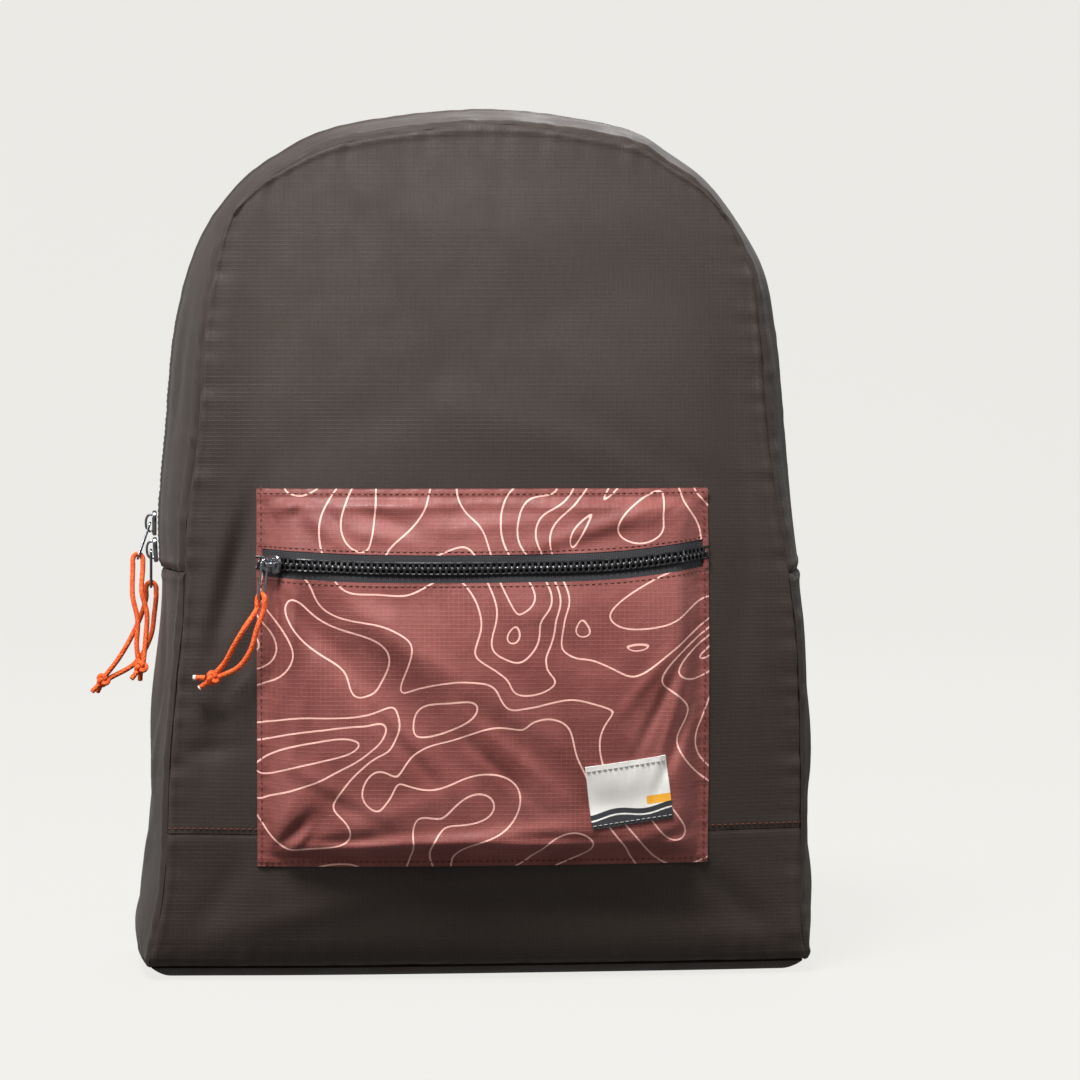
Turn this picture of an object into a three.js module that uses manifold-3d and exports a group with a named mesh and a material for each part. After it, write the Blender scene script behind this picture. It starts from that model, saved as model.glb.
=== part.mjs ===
import * as THREE from "three";
import { mergeVertices } from "three/addons/utils/BufferGeometryUtils.js";
import Module from "manifold-3d";

// A packable daypack, filled out and standing on its base.
// Millimetres, +Z up, the front faces -Y, and the origin is the centre of the flat underside.

// Body of the bag
const BAG_HEIGHT = 420; // floor to the crown of the arch
const BAG_HALF_WIDTH = 166; // at the widest, low on the sides
const HALF_DEPTH = 60; // from the middle of the gusset to the seam beside it
const FRONT_CROWN = 21; // how far the filled front stands out of its seam
const BACK_CROWN = 7; // how far the back panel stands out of its seam
const GUSSET_CROWN = 14; // how far the gusset stands out of the seams beside it
const CLOTH = 1.6; // wall of the body cloth
const SEAM_GAP = 0.44; // clearance along a seam, measured over the cloth
const BASE_SEAM_HEIGHT = 6; // seam round the base, above the floor
const BASE_ROUND = 11; // from that seam in to the flat underside
const BAND_HEIGHT = 72; // top of the band along the foot of the front
const ARCH_RISE = 48; // crown of the arch over where the straight sides run into it

// Main zip
const ZIP_END_HEIGHT = 196; // lower ends of the zip, above the floor
const ZIP_PLACE = 0.53; // share of the gusset from its front seam to the zip's middle
const TAPE_WIDTH = 13; // tape that shows between the two edges of cloth
const TAPE_CLOTH = 1;
const TAPE_SINK = 0.6; // tape below the face of the cloth
const CHAIN_WIDTH = 5.6;
const CHAIN_RISE = 1.5; // teeth above the face of the cloth
const FIT_GAP = 0.3; // clearance between pieces that lie on each other

// Front pocket
const POCKET_WIDTH = 215;
const POCKET_HEIGHT = 179;
const POCKET_BOTTOM = 57; // lower edge, above the floor
const POCKET_SHIFT = -1; // its middle, to the right of the bag's
const POCKET_DEPTH = 11; // how far its cloth stands off the front
const POCKET_CLOTH = 1.4;
const HEM = 4; // flat sewn edge
const POCKET_STRIP = 30; // cloth above the zip tape
const LABEL_WIDTH = 39;
const LABEL_HEIGHT = 30;
const LABEL_CLOTH = 1;
const LABEL_FROM_RIGHT = 40; // pocket's right edge to the label's middle
const LABEL_FROM_BOTTOM = 36; // pocket's lower edge to the label's middle
const LABEL_TURN = THREE.MathUtils.degToRad(7.5);

// Sliders, pulls and cords
const SLIDER_LENGTH = 12;
const SLIDER_WIDTH = 9;
const SLIDER_PLATE = 2;
const BAIL_HEIGHT = 3.6;
const BAIL_WIDTH = 2.2;
const BAIL_BAR = 1.3;
const WIRE = 1.3; // diameter of a pull's wire
const WIRE_LENGTH = 20;
const WIRE_WIDTH = 5.2;
const UPPER_SLIDER_RISE = 21; // zip end to the middle of the upper slider
const LOWER_SLIDER_RISE = 8;
const POCKET_SLIDER_FROM_LEFT = 8;
const CORD = 2.5; // diameter of the elastic cord
const KNOT = 7.4; // diameter of a knot
const HITCH_GAP = 0.55; // between the wire and the cord turned over it
const SLIDER_GAP = 0.6; // between a chain and its slider

// Straps and handle
const STRAP_WIDTH = 58;
const STRAP_THICKNESS = 8;
const STRAP_SEAT = 0.7; // clearance over the rounded back panel
const STRAP_BELOW_CROWN = 46; // upper sewn end, below the crown of the arch
const STRAP_FOOT = 132; // lower padded end, above the floor
const STRAP_TOP_SPREAD = 44; // from the middle of the back
const STRAP_FOOT_FROM_SIDE = 62; // lower end's middle, in from the side of the bag
const STRAP_BOW = 44; // how far a strap stands off the back panel
const WEBBING_WIDTH = 20;
const WEBBING = 1.6;
const WEBBING_FOOT = 26; // lower sewn end, above the floor
const WEBBING_FROM_SIDE = 46; // sewn end's middle, in from the side of the bag
const WEBBING_TAIL = 72; // free end below the buckle
const TAIL_DRIFT = 4; // how far it hangs off plumb
const LOCK_BAR = 3;
const LOCK_SLOT = 4.4;
const LOCK_SIDE_GAP = 0.6;
const WRAP_GAP = 0.5; // between the webbing and the bar that it turns round
const HANDLE_BELOW_CROWN = 25; // middle of the webbing, below the crown of the arch
const HANDLE_HALF_SPAN = 56;
const HANDLE_SEWN = 18; // length sewn flat at each end
const HANDLE_HALF_CREST = 20;
const HANDLE_BOW = 20;

// Outline from the front: each side's reach as a share of the half width, at a share of the height.
const OUTLINE = [
  { height: 0.0143, left: 1.004, right: 0.985 },
  { height: 0.052, left: 1.016, right: 1.0 },
  { height: 0.129, left: 0.982, right: 0.988 },
  { height: 0.255, left: 0.966, right: 0.985 },
  { height: 0.395, left: 0.939, right: 0.976 },
  { height: 0.452, left: 0.931, right: 0.962 },
  { height: 0.524, left: 0.936, right: 0.942 },
  { height: 0.631, left: 0.914, right: 0.92 },
  { height: 0.738, left: 0.889, right: 0.895 },
  { height: 0.812, left: 0.846, right: 0.858 },
  { height: 0.864, left: 0.79, right: 0.785 },
  { height: 0.919, left: 0.68, right: 0.674 },
  { height: 0.952, left: 0.562, right: 0.562 },
  { height: 0.973, left: 0.457, right: 0.482 },
  { height: 0.989, left: 0.278, right: 0.315 },
];
const APEX = { height: 1, right: 0.04 };

// Side view: seam planes as shares of HALF_DEPTH, and how much of its crown each face has there.
// The last column is how far the seams lie in from the gusset's crown, as a share of GUSSET_CROWN.
const PROFILE = [
  { height: 0, front: 0.93, back: 0.94, frontCrown: 0.2, backCrown: 0.2, inset: 0.1 },
  { height: 0.05, front: 1.01, back: 1.0, frontCrown: 0.45, backCrown: 0.6, inset: 0.75 },
  { height: 0.16, front: 1.04, back: 1.02, frontCrown: 0.8, backCrown: 0.9, inset: 0.66 },
  { height: 0.33, front: 1.06, back: 1.02, frontCrown: 1.0, backCrown: 1.0, inset: 0.7 },
  { height: 0.46, front: 1.04, back: 1.02, frontCrown: 0.98, backCrown: 1.0, inset: 0.78 },
  { height: 0.63, front: 0.98, back: 1.02, frontCrown: 0.86, backCrown: 1.0, inset: 1.05 },
  { height: 0.78, front: 0.89, back: 1.0, frontCrown: 0.72, backCrown: 0.9, inset: 0.9 },
  { height: 0.9, front: 0.8, back: 0.97, frontCrown: 0.55, backCrown: 0.6, inset: 0.58 },
  { height: 1, front: 0.72, back: 0.93, frontCrown: 0.4, backCrown: 0.4, inset: 0.66 },
];

// Soft dents (below zero) and swells of the front, as shares of the half width and of the height.
const FRONT_FOLDS = [
  { across: -0.73, up: 0.44, wide: 0.09, tall: 0.15, out: -3.6 },
  { across: -0.6, up: 0.7, wide: 0.12, tall: 0.1, out: -2.2 },
  { across: 0.79, up: 0.5, wide: 0.08, tall: 0.16, out: -3.4 },
  { across: 0.1, up: 0.62, wide: 0.4, tall: 0.05, out: 1.6 },
  { across: 0.55, up: 0.8, wide: 0.2, tall: 0.06, out: -1.8 },
  { across: -0.82, up: 0.11, wide: 0.08, tall: 0.05, out: -2.6 },
  { across: 0.3, up: 0.07, wide: 0.3, tall: 0.035, out: -2.2 },
];

// Creases of the pocket: middle as shares of its width and height, the way each runs in degrees
// from level, and its length and width as shares of the pocket's width.
const POCKET_FOLDS = [
  { across: 0.1, up: 0.93, turn: 0, long: 0.045, wide: 0.035, out: -4.2 },
  { across: 0.16, up: 0.9, turn: -40, long: 0.09, wide: 0.018, out: 2 },
  { across: 0.5, up: 0.92, turn: -6, long: 0.2, wide: 0.03, out: -2.6 },
  { across: 0.86, up: 0.91, turn: 14, long: 0.12, wide: 0.02, out: 2.4 },
  { across: 0.95, up: 0.95, turn: 30, long: 0.05, wide: 0.02, out: -3.4 },
  { across: 0.3, up: 0.46, turn: -48, long: 0.2, wide: 0.03, out: -3.4 },
  { across: 0.37, up: 0.52, turn: -44, long: 0.2, wide: 0.028, out: 2.2 },
  { across: 0.52, up: 0.36, turn: -34, long: 0.2, wide: 0.03, out: -2.4 },
  { across: 0.09, up: 0.42, turn: 82, long: 0.16, wide: 0.025, out: -2.4 },
  { across: 0.93, up: 0.4, turn: 68, long: 0.1, wide: 0.025, out: -2.4 },
  { across: 0.09, up: 0.08, turn: 50, long: 0.05, wide: 0.02, out: -4 },
  { across: 0.45, up: 0.07, turn: 3, long: 0.2, wide: 0.02, out: 2 },
];

// The pocket's zip dips and rises: its middle's height off level, as a share of POCKET_STRIP.
const ZIP_SWAY = [
  { across: 0, rise: 0.06 },
  { across: 0.25, rise: -0.05 },
  { across: 0.6, rise: -0.07 },
  { across: 0.8, rise: 0 },
  { across: 1, rise: 0.2 },
];

// A strap from its upper to its lower end: how far down, how far off the back, and how wide.
const STRAP_COURSE = [
  { down: 0, out: 0, width: 0.82 },
  { down: 0.07, out: 0.03, width: 0.86 },
  { down: 0.2, out: 0.36, width: 1 },
  { down: 0.45, out: 0.95, width: 1 },
  { down: 0.62, out: 1, width: 0.98 },
  { down: 0.82, out: 0.8, width: 0.8 },
  { down: 1, out: 0.5, width: 0.46 },
];

// Pulls: each cord's two legs from the hitch to the knot, the knot and its two tails, in
// millimetres from the end of the wire that the cord is hitched on.
const PULL_CORDS = {
  pocket: {
    legs: [
      [[-7.5, -2, -13], [-13, 1, -22.5], [-17, 4, -30]],
      [[-2, -2.5, -14], [-5, -1.5, -24], [-10.5, 1, -32]],
    ],
    knot: [-22.5, 6.5, -37.5],
    tails: [[-32, 8.5, -37.5], [-29.1, 8.5, -42.5]],
  },
  upper: {
    legs: [
      [[-2.5, -4.5, -18], [0, -6.5, -30], [-0.5, -7.5, -42]],
      [[2, -5, -16], [4.5, -5.5, -27], [3.8, -6.5, -40]],
    ],
    knot: [1.5, -9, -53],
    tails: [[-3, -11.5, -58.5], [1, -5.5, -59.5]],
  },
  lower: {
    legs: [
      [[-5, 2.5, -14], [-10.5, 2.5, -26], [-16.5, 2.5, -36]],
      [[1.5, 3, -13], [-0.5, 4, -25], [-8, 5, -38]],
    ],
    knot: [-24, 3.5, -46.5],
    tails: [[-29.5, 1.5, -52], [-27, 6.5, -52.5]],
  },
};

const MATERIALS = {
  body: { color: 0x544b45, roughness: 0.85, metalness: 0 },
  pocket: { color: 0x8c504c, roughness: 0.6, metalness: 0 },
  tape: { color: 0x343438, roughness: 0.9, metalness: 0 },
  teeth: { color: 0x16161a, roughness: 0.45, metalness: 0 },
  metal: { color: 0x8a8d92, roughness: 0.3, metalness: 1 },
  cord: { color: 0xf06428, roughness: 0.8, metalness: 0 },
  label: { color: 0xe9e7e0, roughness: 0.9, metalness: 0 },
  webbing: { color: 0x28282b, roughness: 0.9, metalness: 0 },
  buckle: { color: 0x1c1c1e, roughness: 0.5, metalness: 0 },
};

const bag = new THREE.Group();
const wasm = await Module();
wasm.setup();

const { lerp, clamp, smoothstep, degToRad } = THREE.MathUtils;

// Small helpers

const vector = (x, y, z) => new THREE.Vector3(x, y, z);

// From one value to another in equal steps, both ends included.
const spread = (from, to, steps) =>
  Array.from({ length: steps + 1 }, (_, i) => lerp(from, to, i / steps));

// One column of a table at a value of its key column, on a smooth curve through the rows.
function follow(table, key, column, at) {
  const last = table.length - 1;
  let i = 0;
  while (i < last - 1 && at > table[i + 1][key]) i += 1;
  const before = table[Math.max(i - 1, 0)];
  const [from, to] = [table[i], table[i + 1]];
  const after = table[Math.min(i + 2, last)];
  const span = to[key] - from[key];
  const t = clamp((at - from[key]) / span, 0, 1);
  const leave = ((to[column] - before[column]) / (to[key] - before[key])) * span;
  const arrive = ((after[column] - from[column]) / (after[key] - from[key])) * span;
  const rise = to[column] - from[column];
  return from[column] + leave * t + (3 * rise - 2 * leave - arrive) * t ** 2
    + (leave + arrive - 2 * rise) * t ** 3;
}

// A closed mesh of points and faces, with every face turned outwards.
function closedMesh(points, faces) {
  const volume = faces.reduce((sum, [a, b, c]) => {
    return sum + points[a].dot(vector().crossVectors(points[b], points[c]));
  }, 0);
  const order = volume < 0 ? faces.map(([a, b, c]) => [a, c, b]) : faces;
  const geometry = new THREE.BufferGeometry().setFromPoints(points);
  geometry.setIndex(order.flat());
  return geometry;
}

// The solid between two grids of points that match row for row.
function slab(outer, inner) {
  const rows = outer.length;
  const columns = outer[0].length;
  const points = [...outer.flat(), ...inner.flat()];
  const under = rows * columns;
  const at = (row, column) => row * columns + column;
  const faces = [];
  const quad = (a, b, c, d) => faces.push([a, b, c], [a, c, d]);
  for (let row = 0; row < rows - 1; row += 1) {
    for (let column = 0; column < columns - 1; column += 1) {
      const corners = [
        at(row, column),
        at(row, column + 1),
        at(row + 1, column + 1),
        at(row + 1, column),
      ];
      quad(...corners);
      const [a, b, c, d] = corners.map((corner) => corner + under);
      faces.push([a, c, b], [a, d, c]);
    }
  }
  const rim = [];
  for (let column = 0; column < columns - 1; column += 1) rim.push(at(0, column));
  for (let row = 0; row < rows - 1; row += 1) rim.push(at(row, columns - 1));
  for (let column = columns - 1; column > 0; column -= 1) rim.push(at(rows - 1, column));
  for (let row = rows - 1; row > 0; row -= 1) rim.push(at(row, 0));
  rim.forEach((here, i) => {
    const next = rim[(i + 1) % rim.length];
    quad(next, here, here + under, next + under);
  });
  return closedMesh(points, faces);
}

// The same grid with its edges drawn in by a distance, towards the next row or column.
function drawnIn(grid, distance) {
  const last = grid.length - 1;
  const end = grid[0].length - 1;
  const towards = (from, to) => from.clone().add(to.clone().sub(from).setLength(distance));
  const narrowed = grid.map((row) => [
    towards(row[0], row[1]),
    ...row.slice(1, end),
    towards(row[end], row[end - 1]),
  ]);
  const edge = (row, next) => row.map((point, i) => towards(point, next[i]));
  return [
    edge(narrowed[0], narrowed[1]),
    ...narrowed.slice(1, last),
    edge(narrowed[last], narrowed[last - 1]),
  ];
}

// A panel of cloth sewn along all its edges; pointAt(row, column, depth) gives its faces.
function panel(rows, columns, pointAt, faceDepth, backDepth) {
  const grid = (depth) =>
    drawnIn(rows.map((row) => columns.map((column) => pointAt(row, column, depth))), SEAM_GAP / 2);
  return slab(grid(faceDepth), grid(backDepth));
}

// A section carried along frames; the section is a list of [across, up] pairs.
function carried(frames) {
  const points = frames.flatMap(({ at, across, up, section }) =>
    section.map(([s, n]) => at.clone().addScaledVector(across, s).addScaledVector(up, n)));
  const sides = frames[0].section.length;
  const last = (frames.length - 1) * sides;
  const faces = [];
  for (let i = 0; i < frames.length - 1; i += 1) {
    for (let side = 0; side < sides; side += 1) {
      const a = i * sides + side;
      const b = i * sides + ((side + 1) % sides);
      faces.push([a, b, b + sides], [a, b + sides, a + sides]);
    }
  }
  for (let side = 1; side < sides - 1; side += 1) {
    faces.push([0, side + 1, side], [last, last + side, last + side + 1]);
  }
  return closedMesh(points, faces);
}

// Frames along a smooth line, their width lying as near as can be to the direction that
// waysAt(share) gives.
function framesAlong(line, steps, waysAt, sectionAt) {
  return spread(0, 1, steps).map((share) => {
    const tangent = line.getTangentAt(share);
    const across = waysAt(share);
    across.addScaledVector(tangent, -across.dot(tangent)).normalize();
    const up = vector().crossVectors(tangent, across);
    return { at: line.getPointAt(share), across, up, section: sectionAt(share) };
  });
}

// Flat webbing's section, and a padded strap's with rounded edges.
const flatSection = (width, thickness) => [
  [width / 2, -thickness / 2],
  [width / 2, thickness / 2],
  [-width / 2, thickness / 2],
  [-width / 2, -thickness / 2],
];
const paddedSection = (width, thickness) => {
  const [half, edge, deep] = [width / 2, thickness * 0.2, thickness / 2];
  const shoulder = half - thickness * 0.45;
  return [
    [half, -edge],
    [half, edge],
    [shoulder, deep],
    [-shoulder, deep],
    [-half, edge],
    [-half, -edge],
    [-shoulder, -deep],
    [shoulder, -deep],
  ];
};

// A round cord or wire along a smooth line through points.
const CORD_SIDES = 8;
function roundSection(diameter, sides) {
  const turn = (i) => ((i + 0.5) / sides) * 2 * Math.PI;
  return new THREE.Shape(Array.from({ length: sides }, (_, i) =>
    new THREE.Vector2(Math.cos(turn(i)), Math.sin(turn(i))).multiplyScalar(diameter / 2)));
}
function cordAlong(points, diameter) {
  const line = new THREE.CatmullRomCurve3(points, false, "centripetal");
  const steps = Math.max(4, Math.round(line.getLength() / (2.7 * diameter)));
  const settings = { steps, extrudePath: line, bevelEnabled: false };
  return new THREE.ExtrudeGeometry(roundSection(diameter, CORD_SIDES), settings);
}

// Solids joined into one.
function solidOf(geometry) {
  const plain = geometry.clone();
  plain.deleteAttribute("normal");
  plain.deleteAttribute("uv");
  const merged = mergeVertices(plain, 1e-4);
  return new wasm.Manifold(new wasm.Mesh({
    numProp: 3,
    vertProperties: new Float32Array(merged.attributes.position.array),
    triVerts: new Uint32Array(merged.index.array),
  }));
}
function fused(...geometries) {
  const solid = geometries.map(solidOf).reduce((sum, next) => sum.add(next));
  const mesh = solid.getMesh();
  return new THREE.BufferGeometry()
    .setAttribute("position", new THREE.BufferAttribute(mesh.vertProperties, mesh.numProp))
    .setIndex(new THREE.BufferAttribute(mesh.triVerts, 1));
}

function add(name, finish, geometry, parent = bag) {
  const mesh = new THREE.Mesh(geometry, new THREE.MeshStandardMaterial(MATERIALS[finish]));
  mesh.name = name;
  parent.add(mesh);
  return mesh;
}

// Shape of the filled bag

// The gusset's crown line from the left foot over the arch to the right foot.
const crownLine = new THREE.CatmullRomCurve3([
  ...OUTLINE.map(({ height, left }) => vector(-left * BAG_HALF_WIDTH, 0, height * BAG_HEIGHT)),
  vector(APEX.right * BAG_HALF_WIDTH, 0, APEX.height * BAG_HEIGHT),
  ...OUTLINE.toReversed().map(({ height, right }) =>
    vector(right * BAG_HALF_WIDTH, 0, height * BAG_HEIGHT)),
], false, "centripetal");
const lengths = crownLine.getLengths();
const APEX_STATION = lengths[(lengths.length - 1) / 2] / lengths.at(-1);

// The station along the crown line where a side stands at a height.
function stationAt(side, height) {
  let [below, above] = side === "left" ? [0, APEX_STATION] : [1, APEX_STATION];
  for (let i = 0; i < 26; i += 1) {
    const middle = (below + above) / 2;
    if (crownLine.getPointAt(middle).z < height) below = middle;
    else above = middle;
  }
  return (below + above) / 2;
}

// A point of the gusset: station along it, share from the front seam to the back one,
// and depth below its outer face.
const GUSSET_SHAPE = 2.3;
function gussetPoint(station, share, depth) {
  const crown = crownLine.getPointAt(station);
  const tangent = crownLine.getTangentAt(station);
  const outwards = vector(-tangent.z, 0, tangent.x);
  const height = crown.z / BAG_HEIGHT;
  const inset = GUSSET_CROWN * follow(PROFILE, "height", "inset", height);
  const fallen = inset * Math.abs(2 * share - 1) ** GUSSET_SHAPE;
  const front = -HALF_DEPTH * follow(PROFILE, "height", "front", height) + depth;
  const back = HALF_DEPTH * follow(PROFILE, "height", "back", height) - depth;
  const point = crown.addScaledVector(outwards, -fallen - depth);
  return point.setY(lerp(front, back, share));
}

// Rows up the sides, from the base seam to where the arch begins, cut at the seams.
const ARCH_HEIGHT = BAG_HEIGHT - ARCH_RISE;
const LOWER_ROWS = spread(BASE_SEAM_HEIGHT, BAND_HEIGHT, 3);
const MIDDLE_ROWS = spread(BAND_HEIGHT, ZIP_END_HEIGHT, 6);
const UPPER_ROWS = spread(ZIP_END_HEIGHT, ARCH_HEIGHT, 9);
const ALL_ROWS = [...LOWER_ROWS, ...MIDDLE_ROWS.slice(1), ...UPPER_ROWS.slice(1)];

// Columns across the faces, with one at the rounding of the base.
const RIM_SHARE = BASE_ROUND / (2 * BAG_HALF_WIDTH);
const COLUMNS = [0, ...spread(RIM_SHARE, 1 - RIM_SHARE, 12), 1];

// Shares round the gusset, cut at the zip tape's edges.
const RIM_ROUND = BASE_ROUND / (2 * HALF_DEPTH);
const tapeShare = TAPE_WIDTH / (2 * HALF_DEPTH);
const TAPE_FRONT = ZIP_PLACE - tapeShare / 2;
const TAPE_BACK = ZIP_PLACE + tapeShare / 2;
const FRONT_STRIP = [0, ...spread(RIM_ROUND, TAPE_FRONT, 3)];
const BACK_STRIP = [...spread(TAPE_BACK, 1 - RIM_ROUND, 3), 1];
const ROUND = [...FRONT_STRIP, ...BACK_STRIP];

const LEFT_CORNER = stationAt("left", ARCH_HEIGHT);
const RIGHT_CORNER = stationAt("right", ARCH_HEIGHT);

// A point of the front or back face: column share, height of its row at the sides, and depth.
const FACE_SHAPE = 2.4;
const ARCH_REACH = 3; // how soon the rows below the arch lie level
function facePoint(side, column, row, depth) {
  const share = side === "front" ? 0 : 1;
  const up = (row - BASE_SEAM_HEIGHT) / (ARCH_HEIGHT - BASE_SEAM_HEIGHT);
  const left = gussetPoint(stationAt("left", row), share, depth);
  const right = gussetPoint(stationAt("right", row), share, depth);
  const cornerLeft = gussetPoint(LEFT_CORNER, share, depth);
  const cornerRight = gussetPoint(RIGHT_CORNER, share, depth);
  const arch = gussetPoint(lerp(LEFT_CORNER, RIGHT_CORNER, column), share, depth);
  const archRise = arch.sub(cornerLeft.lerp(cornerRight, column));
  const point = left.lerp(right, column).addScaledVector(archRise, Math.max(up, 0) ** ARCH_REACH);
  const from = Math.abs(2 * column - 1);
  const crown = (1 - from ** FACE_SHAPE) * (1 - Math.max(up, 0) ** 6);
  const height = point.z / BAG_HEIGHT;
  if (side === "back") {
    point.y += BACK_CROWN * follow(PROFILE, "height", "backCrown", height) * crown;
    return point;
  }
  point.y -= FRONT_CROWN * follow(PROFILE, "height", "frontCrown", height) * crown;
  const clearOfSeams = (1 - from ** 8) * (1 - Math.max(up, 0) ** 8);
  const across = point.x / BAG_HALF_WIDTH;
  for (const fold of FRONT_FOLDS) {
    const away = ((across - fold.across) / fold.wide) ** 2 + ((height - fold.up) / fold.tall) ** 2;
    point.y -= fold.out * Math.exp(-away / 2) * clearOfSeams;
  }
  return point;
}

// The face's outer point at a place seen from the front.
function faceAt(side, x, z) {
  let column = 0.5 + x / (2 * BAG_HALF_WIDTH);
  let row = z;
  let point;
  for (let i = 0; i < 7; i += 1) {
    point = facePoint(side, column, row, 0);
    column += (x - point.x) / (1.9 * BAG_HALF_WIDTH);
    row += z - point.z;
  }
  return point;
}

// Body panels

add("front_panel", "body", panel([...MIDDLE_ROWS, ...UPPER_ROWS.slice(1)], COLUMNS,
  (row, column, depth) => facePoint("front", column, row, depth), 0, CLOTH));
add("lower_front_band", "body", panel(LOWER_ROWS, COLUMNS,
  (row, column, depth) => facePoint("front", column, row, depth), 0, CLOTH));
add("back_panel", "body", panel(ALL_ROWS, COLUMNS,
  (row, column, depth) => facePoint("back", column, row, depth), 0, CLOTH));

for (const side of ["left", "right"]) {
  add(`side_panel_${side}`, "body", panel([...LOWER_ROWS, ...MIDDLE_ROWS.slice(1)], ROUND,
    (row, share, depth) => gussetPoint(stationAt(side, row), share, depth), 0, CLOTH));
}

// The base: its rim is the base seam, and inside the rounding its underside is flat.
function basePoint(share, column, depth) {
  const front = facePoint("front", column, BASE_SEAM_HEIGHT, depth);
  const back = facePoint("back", column, BASE_SEAM_HEIGHT, depth);
  const left = gussetPoint(stationAt("left", BASE_SEAM_HEIGHT), share, depth);
  const right = gussetPoint(stationAt("right", BASE_SEAM_HEIGHT), share, depth);
  const corner = (side, end) => gussetPoint(stationAt(side, BASE_SEAM_HEIGHT), end, depth);
  const corners = corner("left", 0).lerp(corner("right", 0), column)
    .lerp(corner("left", 1).lerp(corner("right", 1), column), share);
  const point = front.lerp(back, share).add(left.lerp(right, column)).sub(corners);
  const onRim = column === 0 || column === 1 || share === 0 || share === 1;
  return point.setZ(onRim ? BASE_SEAM_HEIGHT : depth);
}
add("base_panel", "body", panel(ROUND, COLUMNS, basePoint, 0, CLOTH));

// Gusset over the arch, with the main zip between its two strips

const ARCH_STATIONS = [
  ...UPPER_ROWS.map((row) => stationAt("left", row)),
  ...COLUMNS.slice(1, -1).map((column) => lerp(LEFT_CORNER, RIGHT_CORNER, column)),
  ...UPPER_ROWS.toReversed().map((row) => stationAt("right", row)),
];
add("gusset_front_strip", "body", panel(ARCH_STATIONS, FRONT_STRIP, gussetPoint, 0, CLOTH));
add("gusset_back_strip", "body", panel(ARCH_STATIONS, BACK_STRIP, gussetPoint, 0, CLOTH));
add("main_zip_tape", "tape", panel(ARCH_STATIONS, [TAPE_FRONT, TAPE_BACK],
  gussetPoint, TAPE_SINK, TAPE_SINK + TAPE_CLOTH));
const chainShare = CHAIN_WIDTH / (2 * HALF_DEPTH);
add("main_zip_chain", "teeth", panel(ARCH_STATIONS,
  [ZIP_PLACE - chainShare / 2, ZIP_PLACE + chainShare / 2],
  gussetPoint, -CHAIN_RISE, TAPE_SINK - FIT_GAP));

// Front pocket

const POCKET_LEFT = POCKET_SHIFT - POCKET_WIDTH / 2;
const POCKET_TOP = POCKET_BOTTOM + POCKET_HEIGHT;
const WALL_REACH = 14; // hem to where the pocket stands at full depth

// How far the pocket's cloth stands off the front, at a distance from its left and lower edges.
function pocketLift(fromLeft, fromBottom) {
  const edge = (distance) => smoothstep(distance, HEM, HEM + WALL_REACH) ** 0.7;
  const rim = edge(fromLeft) * edge(POCKET_WIDTH - fromLeft)
    * edge(fromBottom) * edge(POCKET_HEIGHT - fromBottom);
  const folds = POCKET_FOLDS.reduce((sum, fold) => {
    const turn = degToRad(fold.turn);
    const dx = fromLeft - fold.across * POCKET_WIDTH;
    const dz = fromBottom - fold.up * POCKET_HEIGHT;
    const along = (dx * Math.cos(turn) + dz * Math.sin(turn)) / (fold.long * POCKET_WIDTH);
    const aside = (dz * Math.cos(turn) - dx * Math.sin(turn)) / (fold.wide * POCKET_WIDTH);
    return sum + fold.out * Math.exp(-(along ** 2 + aside ** 2) / 2);
  }, 0);
  return Math.max(rim * (POCKET_DEPTH + folds), 0);
}
function pocketPoint(fromLeft, fromBottom, out) {
  const face = faceAt("front", POCKET_LEFT + fromLeft, POCKET_BOTTOM + fromBottom);
  face.y -= FIT_GAP + pocketLift(fromLeft, fromBottom) + out;
  return face;
}

const EDGE_STEPS = [0, HEM, HEM + WALL_REACH * 0.35, HEM + WALL_REACH];
const POCKET_COLUMNS = [
  ...EDGE_STEPS.slice(0, -1),
  ...spread(EDGE_STEPS.at(-1), POCKET_WIDTH - EDGE_STEPS.at(-1), 12),
  ...EDGE_STEPS.slice(0, -1).reverse().map((step) => POCKET_WIDTH - step),
];
const pocketZipMiddle = (fromLeft) =>
  POCKET_HEIGHT - POCKET_STRIP - TAPE_WIDTH / 2
  + POCKET_STRIP * follow(ZIP_SWAY, "across", "rise", fromLeft / POCKET_WIDTH);

// Rows are shares between the piece's lower and upper edges.
function pocketPiece(rows, lower, upper, back, face) {
  const at = (row, fromLeft, out) =>
    pocketPoint(fromLeft, lerp(lower(fromLeft), upper(fromLeft), row), out);
  return panel(rows, POCKET_COLUMNS, at, face, back);
}
const tapeLower = (fromLeft) => pocketZipMiddle(fromLeft) - TAPE_WIDTH / 2;
const tapeUpper = (fromLeft) => pocketZipMiddle(fromLeft) + TAPE_WIDTH / 2;
const frontSpan = POCKET_HEIGHT - POCKET_STRIP - TAPE_WIDTH;
const frontRows = [
  ...EDGE_STEPS.slice(0, -1).map((step) => step / frontSpan),
  ...spread(EDGE_STEPS.at(-1) / frontSpan, 1, 8),
];
const stripRows = [
  0,
  0.4,
  ...EDGE_STEPS.slice(0, -1).reverse().map((step) => 1 - step / POCKET_STRIP),
];
add("pocket_front_panel", "pocket",
  pocketPiece(frontRows, () => 0, tapeLower, 0, POCKET_CLOTH));
add("pocket_top_strip", "pocket",
  pocketPiece(stripRows, tapeUpper, () => POCKET_HEIGHT, 0, POCKET_CLOTH));
const chainEdge = (1 - CHAIN_WIDTH / TAPE_WIDTH) / 2;
add("pocket_zip_tape", "tape",
  pocketPiece([0, chainEdge, 1 - chainEdge, 1], tapeLower, tapeUpper, 0, TAPE_CLOTH));
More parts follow.
